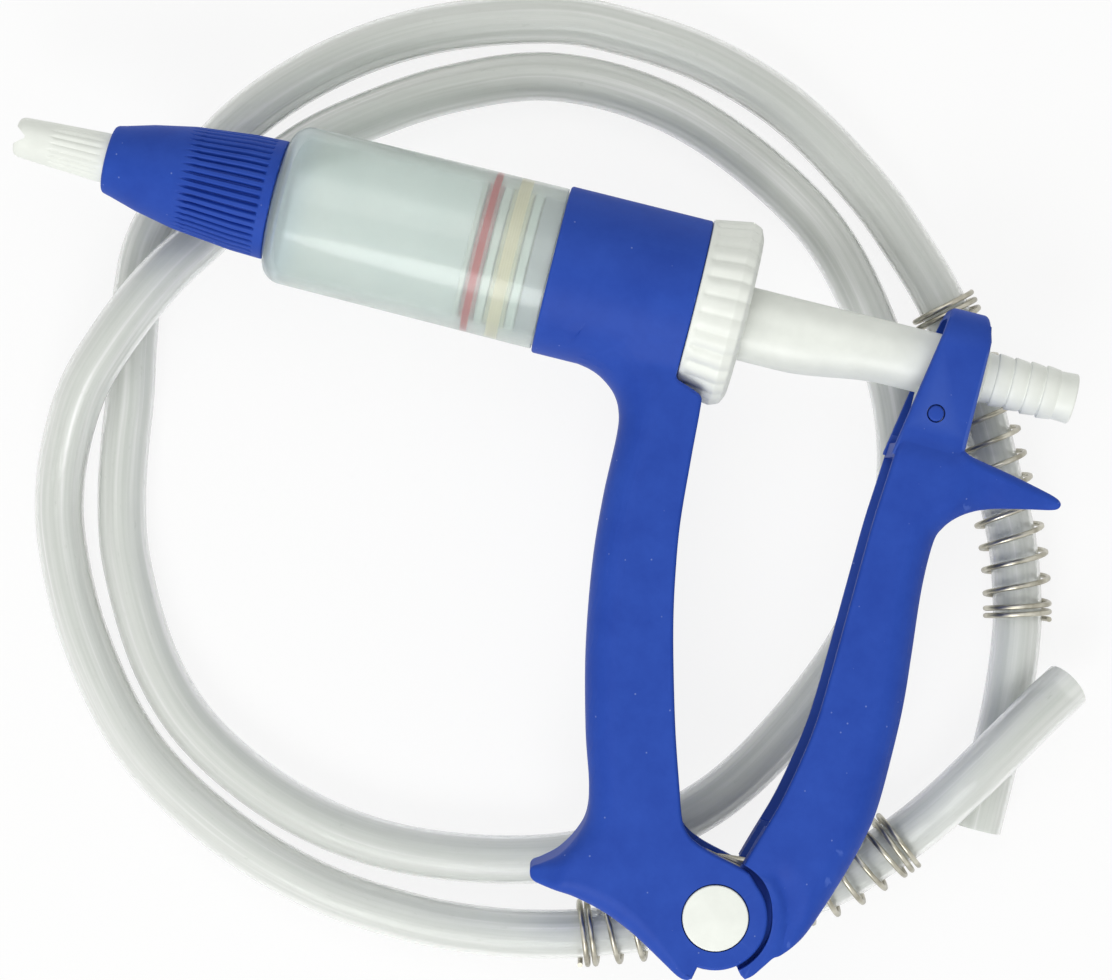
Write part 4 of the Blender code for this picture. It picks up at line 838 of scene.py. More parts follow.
def moulded_acetal():
    """Acetal, injection moulded and left white: close and slightly waxy, with a faint cloudiness and a soft
    gloss."""
    made, tree = new_material("moulded_acetal")
    spot = add(tree, "ShaderNodeTexCoord").outputs["Object"]
    cloud = {"Vector": spot, "Scale": 1.0 / (WAX_CLOUD * MM), "Detail": 3.0, "Roughness": 0.55}
    cloud = add(tree, "ShaderNodeTexNoise", cloud)
    tone = add(tree, "ShaderNodeValToRGB", {"Fac": cloud}, stops=((0.3, "#E9ECE6"), (0.7, "#F1F4EE")))
    grain = add(tree, "ShaderNodeTexNoise", {"Vector": spot, "Scale": 1.0 / (CAP_GRAIN * MM), "Detail": 2.0})
    relief = add(tree, "ShaderNodeBump", {"Strength": 0.12, "Distance": 0.1 * MM, "Height": grain})
    rough = add(tree, "ShaderNodeMapRange", (cloud, 0.0, 1.0, 0.34, 0.44))
    looks = {"Base Color": tone, "Roughness": rough, "IOR": 1.48, "Normal": relief}
    add(tree, "ShaderNodeOutputMaterial", {"Surface": add(tree, "ShaderNodeBsdfPrincipled", looks)})
    return made


def turned_steel():
    """Steel rod turned on a lathe: bright, with fine rings from the tool."""
    made, tree = new_material("turned_steel")
    spot = add(tree, "ShaderNodeTexCoord").outputs["Object"]
    rings = {"Vector": spot, "Scale": WAVE_BAND / (PIN_RINGS * MM), "Distortion": 0.4}
    rings = add(tree, "ShaderNodeTexWave", rings, bands_direction="Z").outputs["Fac"]
    relief = add(tree, "ShaderNodeBump", {"Strength": 0.3, "Distance": 0.05 * MM, "Height": rings})
    rough = add(tree, "ShaderNodeMapRange", (rings, 0.0, 1.0, 0.22, 0.34))
    looks = {"Base Color": linear("#C4C4C2"), "Metallic": 1.0, "Roughness": rough, "Normal": relief}
    add(tree, "ShaderNodeOutputMaterial", {"Surface": add(tree, "ShaderNodeBsdfPrincipled", looks)})
    return made


def keep(name, material):
    """A CAD node that stays as it is and gets its real finish."""
    nodes[name].data.materials.clear()
    nodes[name].data.materials.append(material)


def hinge_spring_line():
    """The torsion spring's middle line: a leg down the lever, the close coil, and a leg up the grip."""
    first_angle = math.radians(LEVER_FOOT)
    turned = 2.0 * math.pi * SPRING_TURNS - first_angle + math.radians(HANDLE_FOOT)
    line = []
    for step in range(SPRING_STEPS + 1):
        share = step / SPRING_STEPS
        angle = first_angle + turned * share
        height = SPRING_HALF * (2.0 * share - 1.0)
        line.append(Vector((SPRING_RADIUS * math.cos(angle), SPRING_RADIUS * math.sin(angle), height)))
    lever_way = math.radians(LEVER_FOOT - 90.0)
    handle_way = math.radians(HANDLE_FOOT + 90.0)
    lever_end = line[0] + Vector((math.cos(lever_way), math.sin(lever_way), 0.0)) * LEVER_LEG
    handle_end = line[-1] + Vector((math.cos(handle_way), math.sin(handle_way), 0.0)) * HANDLE_LEG
    return [point + Vector((0.0, 0.0, MID)) for point in [lever_end] + line + [handle_end]]


white_plastic = moulded_acetal()
steel_pin = turned_steel()
keep("hinge_pin", steel_pin)
pin_half = cap_seat - GAP
cap_face = GRIP_HALF + CAP_PROUD
hinge_cap_shape = softened(
    [
        (pin_half - PEG_LENGTH, 0.0), (pin_half - PEG_LENGTH, PEG_RADIUS, 0.4), (cap_seat + GAP, PEG_RADIUS),
        (cap_seat + GAP, HINGE_CAP_RADIUS, 0.2), (cap_face, HINGE_CAP_RADIUS, 0.35), (cap_face, 0.0),
    ]
)
for side, label in ((1.0, "upper"), (-1.0, "lower")):
    profile = [(along * side, radius) for along, radius in hinge_cap_shape]
    hinge_cap = blank(f"hinge_cap_{label}_disc", lathed(profile, 96, "hinge"))
    fit(hinge_cap, "gun_body", "white_plastic", white_plastic, f"hinge_cap_{label}")
torsion_spring = blank("torsion_spring", skin_through(rings_round(hinge_spring_line(), SPRING_WIRE, 12)))
fit(torsion_spring, "gun_body", "spring_steel", spring_steel, "return_spring", crease=SOFT_CREASE)

# The trigger lever: the rear grip, moulded like the frame. Its lugs sit between the cheeks, a spur keeps the
# hand from slipping up, and above it the yoke closes over the rod and drives it through a pressed-in pin.
LUG_RADIUS = 11.5
LUG_OUTER = CHEEK_INNER - GAP
LUG_INNER = 7.2
YOKE_HALF = 13.5
YOKE_INNER = 10.7
YOKE_TOP = 154.3
YOKE_BRIDGE = 2.8
YOKE_EDGE = 1.1
YOKE_PIN_X = 21.83
YOKE_PIN_Y = 128.35
YOKE_PIN_RADIUS = 1.9
YOKE_PIN_PROUD = 0.25
WEB_TOP = 119.6
# The yoke from the side: where its cheeks begin to bend, its corners, and its front and rear faces with their
# slopes.
YOKE_SHOULDER = (122.4, 124.2)
YOKE_ROUND = 9.5
YOKE_INNER_ROUND = 7.0
YOKE_FRONT = 13.9
YOKE_FRONT_LEAN = 0.168
YOKE_REAR = 30.7
YOKE_REAR_LEAN = 0.22
YOKE_REAR_LEANS_FROM = 148.0
# The room that the lever leaves round a cheek, and the degrees between which it widens.
BOSS_ROOM = 1.1
BOSS_WIDENS = (12.0, 56.0)
# From where to where the spur thins: its root, its whole length, and the slope under its ridge.
SPUR_ROOT = (31.0, 41.0)
SPUR_LENGTH = (38.0, 58.0)
SPUR_SLOPE = (29.0, 39.0)
# The shallow dish behind the hinge's raised rim: its bounds outwards, and its start and end in degrees.
DISH_RIM = (15.4, 17.2)
DISH_BACK = (17.2, 23.0)
DISH_START = (-28.0, -6.0)
DISH_END = (36.0, 66.0)
LEVER_ROWS = [("x", 11.0, 29.0, 1.0), ("y", -8.0, 24.0, 1.0)]
LEVER_ROWS += [("x", 30.37, 57.4, 1.35), ("y", 102.13, 121.7, 1.3)]
LEVER_FRONT_EDGE = [
    (3.4, 13.2, 0.8), (5.3, 19.7, 1.0), (8.3, 29.5, 1.0), (10.4, 39.4, 1.0), (11.9, 49.2, 1.0),
    (12.5, 59.0, 1.0), (13.0, 78.7, 1.0), (13.5, 98.4, 1.0), (14.1, 108.2, 1.0), (15.0, 121.8, 1.6),
]
LEVER_REAR_EDGE = [
    (30.4, 121.6, 1.8), (32.4, 120.6, 1.9), (35.5, 120.0, 2.2), (42.0, 118.9, 2.4), (50.4, 117.2, 2.0),
    (54.8, 116.1, 1.4), (56.4, 115.0, 1.0), (56.2, 113.7, 1.0), (54.6, 112.9, 1.4), (50.4, 112.0, 2.2),
    (45.4, 110.9, 3.0), (40.4, 109.6, 4.0), (36.5, 108.0, 5.0), (33.0, 105.6, 6.0), (30.5, 102.5, 7.0),
    (29.2, 98.5, 7.5), (29.2, 87.3, 7.5), (30.6, 72.0, 7.5), (31.6, 60.5, 7.5), (31.9, 49.4, 7.5),
    (31.6, 33.8, 7.5), (29.9, 24.2, 7.5), (26.9, 14.0, 7.0), (22.6, 2.4, 5.0), (19.8, -2.2, 2.5),
    (17.2, -5.0, 1.2), (15.6, -6.0, 0.8), (14.0, -8.2, 0.8), (12.0, -11.0, 0.8), (10.3, -12.4, 0.8),
]
LEVER_CHANNEL = [
    (25.6, 23.5, 0.6), (28.2, 29.0, 4.5), (29.0, 35.0, 4.5), (29.3, 49.4, 4.5), (29.0, 60.5, 4.5),
    (28.0, 72.0, 4.5), (26.6, 87.3, 4.5), (26.4, 103.0, 4.5), (25.6, 116.0, 0.6),
]
LEG_ROOM = [(-6.0, 9.0), (8.0, 4.0), (18.5, 4.4), (21.6, 8.0)]
LEG_ROOM += [(24.0, 14.0), (25.6, 20.0), (26.6, 26.0), (-6.0, 26.0)]


def lever_form(x, y, z):
    """The spur thins to its tip and slopes down from a ridge under its upper edge, the cheeks dip to the
    yoke's foot, and a shallow dish lies behind the raised rim round the hinge."""
    thinned = 1.0 - 0.14 * eased(x, *SPUR_ROOT) - 0.34 * eased(x, *SPUR_LENGTH)
    below_ridge = max(0.0, 118.5 - 0.17 * (x - 33.0) - y)
    thinned -= 0.020 * min(below_ridge, 9.0) * eased(x, *SPUR_SLOPE) * (1.0 - eased(below_ridge, 9.0, 16.0))
    thinned -= 0.075 * eased(y, 116.8, 121.2) * (1.0 - eased(x, 28.0, 33.0))
    reach = math.hypot(x, y)
    angle = math.degrees(math.atan2(y, x))
    dish = eased(reach, *DISH_RIM) * (1.0 - eased(reach, *DISH_BACK))
    dish *= eased(angle, *DISH_START) * (1.0 - eased(angle, *DISH_END))
    return z * thinned * (1.0 - 0.075 * dish)


def boss_room(low, high):
    """Room round a hinge cheek, wider where the corner of the lever sweeps past the grip's edge."""
    outline = []
    for turned in round_angles(160):
        angle = turned - math.pi
        wide = eased(math.degrees(angle), *BOSS_WIDENS)
        radius = BOSS_RADIUS + BOSS_ROOM + BOSS_LIP * wide
        outline.append((radius * math.cos(angle), radius * math.sin(angle)))
    return prism(outline, low, high)


def yoke_arch():
    """The yoke: an arch over the rod, its front and rear faces leaning apart, its outer edges rounded."""
    foot = WEB_TOP - 3.0
    top = YOKE_TOP - YOKE_BRIDGE
    arch = [(YOKE_HALF, level) for level in (foot, *YOKE_SHOULDER)] + [(YOKE_HALF, YOKE_TOP, YOKE_ROUND)]
    arch += [(-side, level, *rest) for side, level, *rest in reversed(arch)]
    arch += [(-YOKE_INNER, foot), (-YOKE_INNER, top, YOKE_INNER_ROUND)]
    arch += [(YOKE_INNER, top, YOKE_INNER_ROUND), (YOKE_INNER, foot)]
    path = softened(arch, 12)
    edge = [(YOKE_EDGE * (1.0 - math.cos(a)), YOKE_EDGE * (1.0 - math.sin(a))) for a in quarter_angles(5)]
    rows = [(depth, inset, 1.0) for depth, inset in edge]
    rows += [(depth, inset, -1.0) for depth, inset in reversed(edge)]
    rings = []
    for depth, inset, face in rows:
        ring = []
        for index, (z, y) in enumerate(path):
            here = Vector((z, y))
            back = (here - Vector(path[index - 1])).normalized()
            ahead = (Vector(path[(index + 1) % len(path)]) - here).normalized()
            normal = (Vector((-back.y, back.x)) + Vector((-ahead.y, ahead.x))).normalized()
            if abs(z) > YOKE_INNER + 0.5 or y > top + 0.5:
                here = here + normal * inset
            front = YOKE_FRONT + (here.y - foot) * YOKE_FRONT_LEAN
            rear = YOKE_REAR - YOKE_REAR_LEAN * max(0.0, here.y - YOKE_REAR_LEANS_FROM)
            ring.append((front + depth if face > 0.0 else rear - depth, here.y, here.x))
        rings.append(ring)
    return raised(skin_through(rings))


lever_outline = drawn_line(LEVER_FRONT_EDGE, 5) + drawn_line(LEVER_REAR_EDGE, 6)
lever_outline += [Vector((9.1, -11.7, 0.6)), Vector((8.0, -10.4, 0.4))]
lever_outline += hinge_arc(LUG_RADIUS, -56.0, -282.0, 60, 0.4)
lever = blank("trigger_grip", raised(sculpt(moulded_slab(lever_outline, GRIP_HALF), LEVER_ROWS, lever_form)))
lever_channel = drawn_line(LEVER_CHANNEL, 4) + [Vector((-2.0, 116.0, 0.6)), Vector((-2.0, 23.5, 0.6))]
yoke_mouth = [(0.0, WEB_TOP), (44.0, WEB_TOP), (44.0, 126.0), (0.0, 126.0)]
carve(
    lever,
    "DIFFERENCE",
    boss_room(LUG_OUTER, THROUGH),
    boss_room(-THROUGH, -LUG_OUTER),
    drill(COIL_SLOT_RADIUS, -LUG_INNER, LUG_INNER, 96),
    prism(LEG_ROOM, -LUG_INNER, LUG_INNER),
    raised(moulded_slab(lever_channel, GRIP_HALF - GRIP_WALL)),
    prism(yoke_mouth, -(YOKE_INNER - 0.5), YOKE_INNER - 0.5),
    drill(PIN_RADIUS + GAP, -THROUGH, THROUGH, 64),
)
carve(lever, "UNION", yoke_arch())
carve(lever, "DIFFERENCE", drill(YOKE_PIN_RADIUS + GAP, -THROUGH, THROUGH, 48, at=(YOKE_PIN_X, YOKE_PIN_Y)))
fit(lever, "trigger", "blue_plastic", blue_plastic, "trigger_lever", crease=32.0)
pin_end = YOKE_HALF + YOKE_PIN_PROUD
pin_shape = [(-pin_end, 0.0), (-pin_end, YOKE_PIN_RADIUS, 0.6)]
pin_shape += [(pin_end, YOKE_PIN_RADIUS, 0.6), (pin_end, 0.0)]
yoke_pin = blank("drive_pin", lathed(softened(pin_shape, 4), 48, "hinge", at=(YOKE_PIN_X, YOKE_PIN_Y)))
fit(yoke_pin, "trigger", "blue_plastic", blue_plastic, "yoke_pin")

# The barrel: a milky, see-through moulding whose bore measures the dose. Its rear sits in the ring, its neck
# takes the nose cap. What touches its wall shows clearly, and what lies behind blurs away.
BORE_RADIUS = 17.6
BARREL_RADIUS = 19.7
BARREL_FRONT_RADIUS = 19.2
BARREL_REAR = -63.1
BARREL_SPIGOT = 18.9
SHOULDER = -142.7
NECK_RADIUS = 11.4
NECK_BORE = 7.5
NECK_END = -158.6
# How far behind the shoulder the painted blue light from the cap reaches into the wall.
CAP_LIGHT_REACH = 9.0
# How wide the clouds in the milky plastic are.
MILK_CLOUD = 22.22


def natural_polypropylene():
    """Unfilled polypropylene, moulded with a thick wall: milky, greenish grey, smooth with a soft gloss, and
    painted bluer near its thick front corner, standing in for light from the blue cap."""
    made, tree = new_material("natural_polypropylene")
    spot = add(tree, "ShaderNodeTexCoord").outputs["Object"]
    milk = add(tree, "ShaderNodeTexNoise", {"Vector": spot, "Scale": 1.0 / (MILK_CLOUD * MM), "Detail": 2.0})
    tone = add(tree, "ShaderNodeValToRGB", {"Fac": milk}, stops=((0.3, "#E6EFEC"), (0.7, "#EDF4F1")))
    along = add(tree, "ShaderNodeSeparateXYZ", (spot,))
    # Painted light: just behind the shoulder the wall's colour is mixed towards blue, standing in for light
    # from the cap.
    corner = add(tree, "ShaderNodeMapRange", (along, SHOULDER * MM, (SHOULDER + CAP_LIGHT_REACH) * MM, 0.6, 0.0))
    with_painted_cap_light = add(tree, "ShaderNodeMix", {0: corner, 6: tone, 7: linear("#D3E2EC")}, data_type="RGBA")
    looks = {"Base Color": with_painted_cap_light.outputs[2], "Roughness": 0.26, "IOR": 1.22, "Transmission Weight": 0.74}
    looks |= {"Coat Weight": 0.3, "Coat Roughness": 0.12}
    add(tree, "ShaderNodeOutputMaterial", {"Surface": add(tree, "ShaderNodeBsdfPrincipled", looks)})
    return made


barrel_shape = softened(
    [
        (BARREL_REAR, BORE_RADIUS), (BARREL_REAR, BARREL_SPIGOT), (RING_FRONT - GAP, BARREL_SPIGOT),
        (RING_FRONT - GAP, BARREL_RADIUS, 0.3), (SHOULDER, BARREL_FRONT_RADIUS, 5.0), (SHOULDER, NECK_RADIUS),
        (NECK_END, NECK_RADIUS), (NECK_END, NECK_BORE), (SHOULDER + 2.0, NECK_BORE),
        (SHOULDER + 2.0, BORE_RADIUS, 3.4),
    ],
    10,
)
milky_plastic = natural_polypropylene()
barrel = blank("dosing_barrel", lathed(barrel_shape, 180))
fit(barrel, "gun_body", "clear_plastic", milky_plastic, "barrel")

# The piston: a white moulding with a red silicone seal ring in its front groove and a cream wear ring in its
# rear one. A small valve in its nose lets liquid through from the hollow rod, held by a pierced disc and a
# light spring.
PISTON_FRONT = -95.2
PISTON_REAR = -80.4
SEAL_PLACE = -92.0
SEAL_RADIUS = 1.8
SEAL_MIDDLE = 16.06
# How far the seal and the wear ring are pressed into the bore's wall, so that they show clearly through it.
PRESSED = 0.04
VALVE_TRAVEL = 1.5
# How wide the bloom on the red rubber is, and how far apart the lathe rings on the cream ring.
SEAL_BLOOM = 2.5
WEAR_RING_RINGS = 0.6283


def silicone_rubber():
    """Silicone rubber, moulded: red, matt, with a dry bloom."""
    made, tree = new_material("silicone_rubber")
    spot = add(tree, "ShaderNodeTexCoord").outputs["Object"]
    bloom = add(tree, "ShaderNodeTexNoise", {"Vector": spot, "Scale": 1.0 / (SEAL_BLOOM * MM), "Detail": 3.0})
    tone = add(tree, "ShaderNodeValToRGB", {"Fac": bloom}, stops=((0.0, "#AC0E1E"), (1.0, "#C0222E")))
    skin = add(tree, "ShaderNodeBsdfPrincipled", {"Base Color": tone, "Roughness": 0.6, "IOR": 1.41})
    add(tree, "ShaderNodeOutputMaterial", {"Surface": skin})
    return made


def cast_nylon():
    """Cast nylon, turned to size: cream, matt, with fine rings from the tool."""
    made, tree = new_material("cast_nylon")
    spot = add(tree, "ShaderNodeTexCoord").outputs["Object"]
    rings = {"Vector": spot, "Scale": WAVE_BAND / (WEAR_RING_RINGS * MM), "Distortion": 0.5}
    rings = add(tree, "ShaderNodeTexWave", rings, bands_direction="X").outputs["Fac"]
    tone = add(tree, "ShaderNodeValToRGB", {"Fac": rings}, stops=((0.0, "#DDD3AE"), (1.0, "#E5DCBA")))
    skin = add(tree, "ShaderNodeBsdfPrincipled", {"Base Color": tone, "Roughness": 0.55, "IOR": 1.53})
    add(tree, "ShaderNodeOutputMaterial", {"Surface": skin})
    return made


land = BORE_RADIUS - GAP
piston_shape = softened(
    [
        (PISTON_FRONT, 7.5), (PISTON_FRONT, land, 0.4), (-94.0, land, 0.3), (-94.0, 13.6), (-90.0, 13.6),
        (-90.0, land, 0.3), (-88.0, land, 0.3), (-88.0, 14.2), (-82.5, 14.2), (-82.5, land, 0.3),
        (PISTON_REAR, land, 0.4), (PISTON_REAR, 6.5), (-84.0, 6.5), (-84.0, 3.5), (-85.4, 3.5), (-85.4, 7.5),
    ],
    4,
)
fit(blank("piston_body", lathed(piston_shape, 128)), "plunger", "white_plastic", white_plastic, "piston")
pressed = BORE_RADIUS + PRESSED
seal_section = []
for angle in round_angles(32):
    reach = min(pressed, SEAL_MIDDLE + SEAL_RADIUS * math.sin(angle))
    seal_section.append((SEAL_PLACE + SEAL_RADIUS * math.cos(angle), reach))
seal_ring = blank("piston_seal", lathed(seal_section, 128))
fit(seal_ring, "plunger", "red_rubber", silicone_rubber(), "piston_o_ring", crease=SOFT_CREASE)
wear_shape = [(-87.7, 14.5), (-87.7, land, 0.2), (-86.6, pressed), (-83.9, pressed), (-82.8, land, 0.2)]
wear_shape += [(-82.8, 14.5)]
wear_ring = blank("piston_wear_ring", lathed(softened(wear_shape, 4), 128))
fit(wear_ring, "plunger", "cream_plastic", cast_nylon(), "guide_ring")
keep("inlet_valve", white_plastic)
keep("inlet_retainer", white_plastic)


def valve_spring(name, start, end, coil_radius, wire_radius, pitch):
    """A light coil spring on the barrel's axis."""
    line = [Vector((0.0, BARREL_Y, MID)) + Vector((x, 0.0, 0.0)) for x in np.linspace(start, end, 12)]
    return wound_wire(name, line, coil_radius, wire_radius, pitch, spring_steel)


inlet_coil = valve_spring("inlet_valve_spring", -92.6, -87.6 - VALVE_TRAVEL - 0.5, 3.55, 0.35, 1.5)
fit(inlet_coil, "plunger", "spring_steel", spring_steel, "inlet_spring", crease=SOFT_CREASE)

# The plunger rod: a hollow white moulding with a keel under it, a lug with a slot for the yoke's pin, and at
# its end the ridged tail that the feed hose is pushed onto.
ROD_RADIUS = 7.55
ROD_KEEL = 2.9
ROD_BORE = 4.3
ROD_FRONT = -80.1
ROD_PEG_FRONT = -83.7
ROD_PEG_RADIUS = 6.2
KEEL_FADE = (-16.0, 9.0)
TAIL_RADIUS = 6.2
TAIL_START = 31.8
TAIL_END = 54.2
TAIL_EDGE = 0.6
RIDGES = (34.6, 38.53, 42.46, 46.39)
# A ridge's profile: how far behind its front, and over the tail's radius.
RIDGE = ((0.0, 0.2), (0.25, 0.25), (0.7, 0.2), (3.2, -0.1), (3.4, -0.3), (3.63, -0.3))
ROD_SIDES = 96
LUG_LOW = 124.4
ROD_LUG_HALF = 4.6
SLOT_HALF = 2.25
SLOT_LOW = 126.1
SLOT_HIGH = 132.4


def rod_section(x, radius, keel=0.0):
    """A ring of points round the rod, drawn out below into its keel."""
    ring = []
    for angle in round_angles(ROD_SIDES):
        reach = radius + keel * max(0.0, -math.sin(angle)) ** 1.5
        ring.append((x, BARREL_Y + reach * math.sin(angle), reach * math.cos(angle)))
    return ring


def lug_block(half, low, high, rounding_low, rounding_high):
    """The outline in x and y of a block round the yoke's pin, with rounded corners."""
    corners = [(YOKE_PIN_X + side * half, low, rounding_low) for side in (-1.0, 1.0)]
    corners += [(YOKE_PIN_X + side * half, high, *rounding_high) for side in (1.0, -1.0)]
    return softened(corners)


rod_rows = [(ROD_PEG_FRONT, ROD_PEG_RADIUS), (ROD_FRONT, ROD_PEG_RADIUS), (ROD_FRONT, ROD_RADIUS, ROD_KEEL)]
rod_rows += [(x, ROD_RADIUS, ROD_KEEL * (1.0 - eased(x, *KEEL_FADE))) for x in np.linspace(*KEEL_FADE, 14)]
rod_rows += [
    (TAIL_START - 0.7, ROD_RADIUS), (TAIL_START - 0.2, ROD_RADIUS - 0.15), (TAIL_START, ROD_RADIUS - 0.5),
    (TAIL_START + 0.2, TAIL_RADIUS), (RIDGES[0] - 0.3, TAIL_RADIUS - 0.3),
]
rod_rows += [(ridge + behind, TAIL_RADIUS + over) for ridge in RIDGES for behind, over in RIDGE]
for angle in quarter_angles(5):
    along = TAIL_END - TAIL_EDGE + TAIL_EDGE * math.sin(angle)
    rod_rows.append((along, TAIL_RADIUS - 0.7 + TAIL_EDGE * math.cos(angle)))
rod = blank("hollow_rod", raised(skin_through([rod_section(*row) for row in rod_rows])))
carve(rod, "UNION", prism(lug_block(ROD_LUG_HALF, LUG_LOW, BARREL_Y - 5.6, 1.5, ()), -4.5, 4.5))
pin_slot = prism(lug_block(SLOT_HALF, SLOT_LOW, SLOT_HIGH, 2.0, (2.0,)), -9.0, 9.0)
carve(rod, "DIFFERENCE", pin_slot, drill(ROD_BORE, -90.0, 60.0, 64, "barrel"))
fit(rod, "plunger", "white_plastic", white_plastic, "plunger_rod", crease=40.0)

# The stop sleeve: a grey threaded tube behind the piston. Turning the dose nut runs it to or fro and so sets
# the stroke.
SLEEVE_RADIUS = 12.0
SLEEVE_FRONT = -80.1
SLEEVE_STEP = -75.0
SLEEVE_REAR = -40.0
SLEEVE_FLANGE = 17.2
# How wide the clouds in the grey plastic are.
SLEEVE_CLOUD = 6.25


def moulded_abs():
    """ABS, injection moulded: pale lilac grey and matt."""
    made, tree = new_material("moulded_abs")
    spot = add(tree, "ShaderNodeTexCoord").outputs["Object"]
    cloud = {"Vector": spot, "Scale": 1.0 / (SLEEVE_CLOUD * MM), "Detail": 3.0}
    cloud = add(tree, "ShaderNodeTexNoise", cloud)
    tone = add(tree, "ShaderNodeValToRGB", {"Fac": cloud}, stops=((0.0, "#B4B2BC"), (1.0, "#C3C1CA")))
    skin = add(tree, "ShaderNodeBsdfPrincipled", {"Base Color": tone, "Roughness": 0.5, "IOR": 1.53})
    add(tree, "ShaderNodeOutputMaterial", {"Surface": skin})
    return made


sleeve_shape = softened(
    [
        (SLEEVE_FRONT, 0.0), (SLEEVE_FRONT, SLEEVE_FLANGE, 0.4), (SLEEVE_STEP, SLEEVE_FLANGE, 0.4),
        (SLEEVE_STEP, SLEEVE_RADIUS), (SLEEVE_REAR, SLEEVE_RADIUS, 0.5), (SLEEVE_REAR, 0.0),
    ],
    4,
)
sleeve = blank("threaded_sleeve", lathed(sleeve_shape, 96))
key_rings = [rod_section(x, ROD_RADIUS + 0.4, ROD_KEEL) for x in (-90.0, -30.0)]
carve(sleeve, "DIFFERENCE", raised(skin_through(key_rings)))
fit(sleeve, "stop_sleeve", "grey_plastic", moulded_abs(), "stop_sleeve")

# The dose nut: a white moulding with rounded finger lobes, snapped into the ring and threaded onto the stop
# sleeve.
NUT_FRONT = RING_REAR + 0.12
NUT_REAR = -27.2
NUT_LOBES = 30
# What points straight up from the hinge: the crest between two furrows, or a furrow.
CREST_UP = 0.0
FURROW_UP = math.pi / 2.0


def furrowed_skin_tree():
    """Geometry nodes that press evenly spaced furrows into the outer skin of a turned piece, fading out at
    both ends."""
    settings = ["Furrows", "Phase", "Depth", "Furrow edge", "Furrow floor"]
    settings += ["Front", "Front fade", "Rear", "Rear fade", "Height", "Level"]
    numbers = [(name, "Float") for name in settings]
    sockets = [("Turned piece", "Geometry"), *numbers, ("Plastic", "Material")]
    tree, given = geometry_tree("furrowed_skin", *sockets)
    here = add(tree, "ShaderNodeSeparateXYZ", (add(tree, "GeometryNodeInputPosition"),)).outputs
    over = add(tree, "ShaderNodeMath", (here["Y"], given["Height"]), operation="SUBTRACT")
    across = add(tree, "ShaderNodeMath", (here["Z"], given["Level"]), operation="SUBTRACT")
    angle = add(tree, "ShaderNodeMath", (across, over), operation="ARCTAN2")
    turned = add(tree, "ShaderNodeMath", (angle, given["Furrows"]), operation="MULTIPLY")
    turned = add(tree, "ShaderNodeMath", (turned, 0.5), operation="MULTIPLY")
    turned = add(tree, "ShaderNodeMath", (turned, given["Phase"]), operation="ADD")
    crest = add(tree, "ShaderNodeMath", (turned,), operation="COSINE")
    crest = add(tree, "ShaderNodeMath", (crest,), operation="ABSOLUTE")
    valley = add(tree, "ShaderNodeMath", (1.0, crest), operation="SUBTRACT")
    furrow = add(tree, "ShaderNodeMapRange", (valley, given["Furrow edge"], given["Furrow floor"]))
    front_end = add(tree, "ShaderNodeMath", (given["Front"], given["Front fade"]), operation="ADD")
    rear_end = add(tree, "ShaderNodeMath", (given["Rear"], given["Rear fade"]), operation="SUBTRACT")
    ends = []
    for start, end in ((given["Front"], front_end), (given["Rear"], rear_end)):
        ends.append(add(tree, "ShaderNodeMapRange", (here["X"], start, end), interpolation_type="SMOOTHSTEP"))
    between = add(tree, "ShaderNodeMath", ends, operation="MULTIPLY")
    outward = add(tree, "ShaderNodeCombineXYZ", {"Y": over, "Z": across})
    outward = add(tree, "ShaderNodeVectorMath", (outward,), operation="NORMALIZE")
    skin_way = add(tree, "GeometryNodeInputNormal")
    facing = add(tree, "ShaderNodeVectorMath", (outward, skin_way), operation="DOT_PRODUCT").outputs["Value"]
    outside = add(tree, "ShaderNodeMapRange", (facing, 0.0, 0.3))
    pointed = add(tree, "ShaderNodeMath", (furrow, between), operation="ADD")
    pointed = add(tree, "ShaderNodeMath", (pointed, 1.0), operation="SUBTRACT")
    pointed = add(tree, "ShaderNodeMath", (pointed, 0.0), operation="MAXIMUM")
    pressed_in = add(tree, "ShaderNodeMath", (pointed, outside), operation="MULTIPLY")
    inward = add(tree, "ShaderNodeMath", (given["Depth"], -1.0), operation="MULTIPLY")
    pressed_in = add(tree, "ShaderNodeMath", (pressed_in, inward), operation="MULTIPLY")
    move = add(tree, "ShaderNodeVectorMath", {0: outward, "Scale": pressed_in}, operation="SCALE")
    moved = add(tree, "GeometryNodeSetPosition", {"Geometry": given["Turned piece"], "Offset": move})
    end_tree(tree, moved, given["Plastic"])
    return tree


furrows = furrowed_skin_tree()


def furrowed(piece, material, count, phase, depth, walls, front, rear):
    """Presses furrows into a turned piece on the barrel's axis. With walls a furrow's side runs from the
    first share of the way from crest to valley to the second. The furrows start and end at front and rear,
    each a place and how far they fade there."""
    lengths = {"Depth": depth, "Front": front[0], "Front fade": front[1]}
    lengths |= {"Rear": rear[0], "Rear fade": rear[1]}
    values = {name: length * MM for name, length in lengths.items()}
    values |= {"Height": BARREL_Y * MM, "Level": MID * MM, "Plastic": material}
    values |= {"Furrows": float(count), "Phase": phase, "Furrow edge": walls[0], "Furrow floor": walls[1]}
    return shape_by(piece, furrows, values)


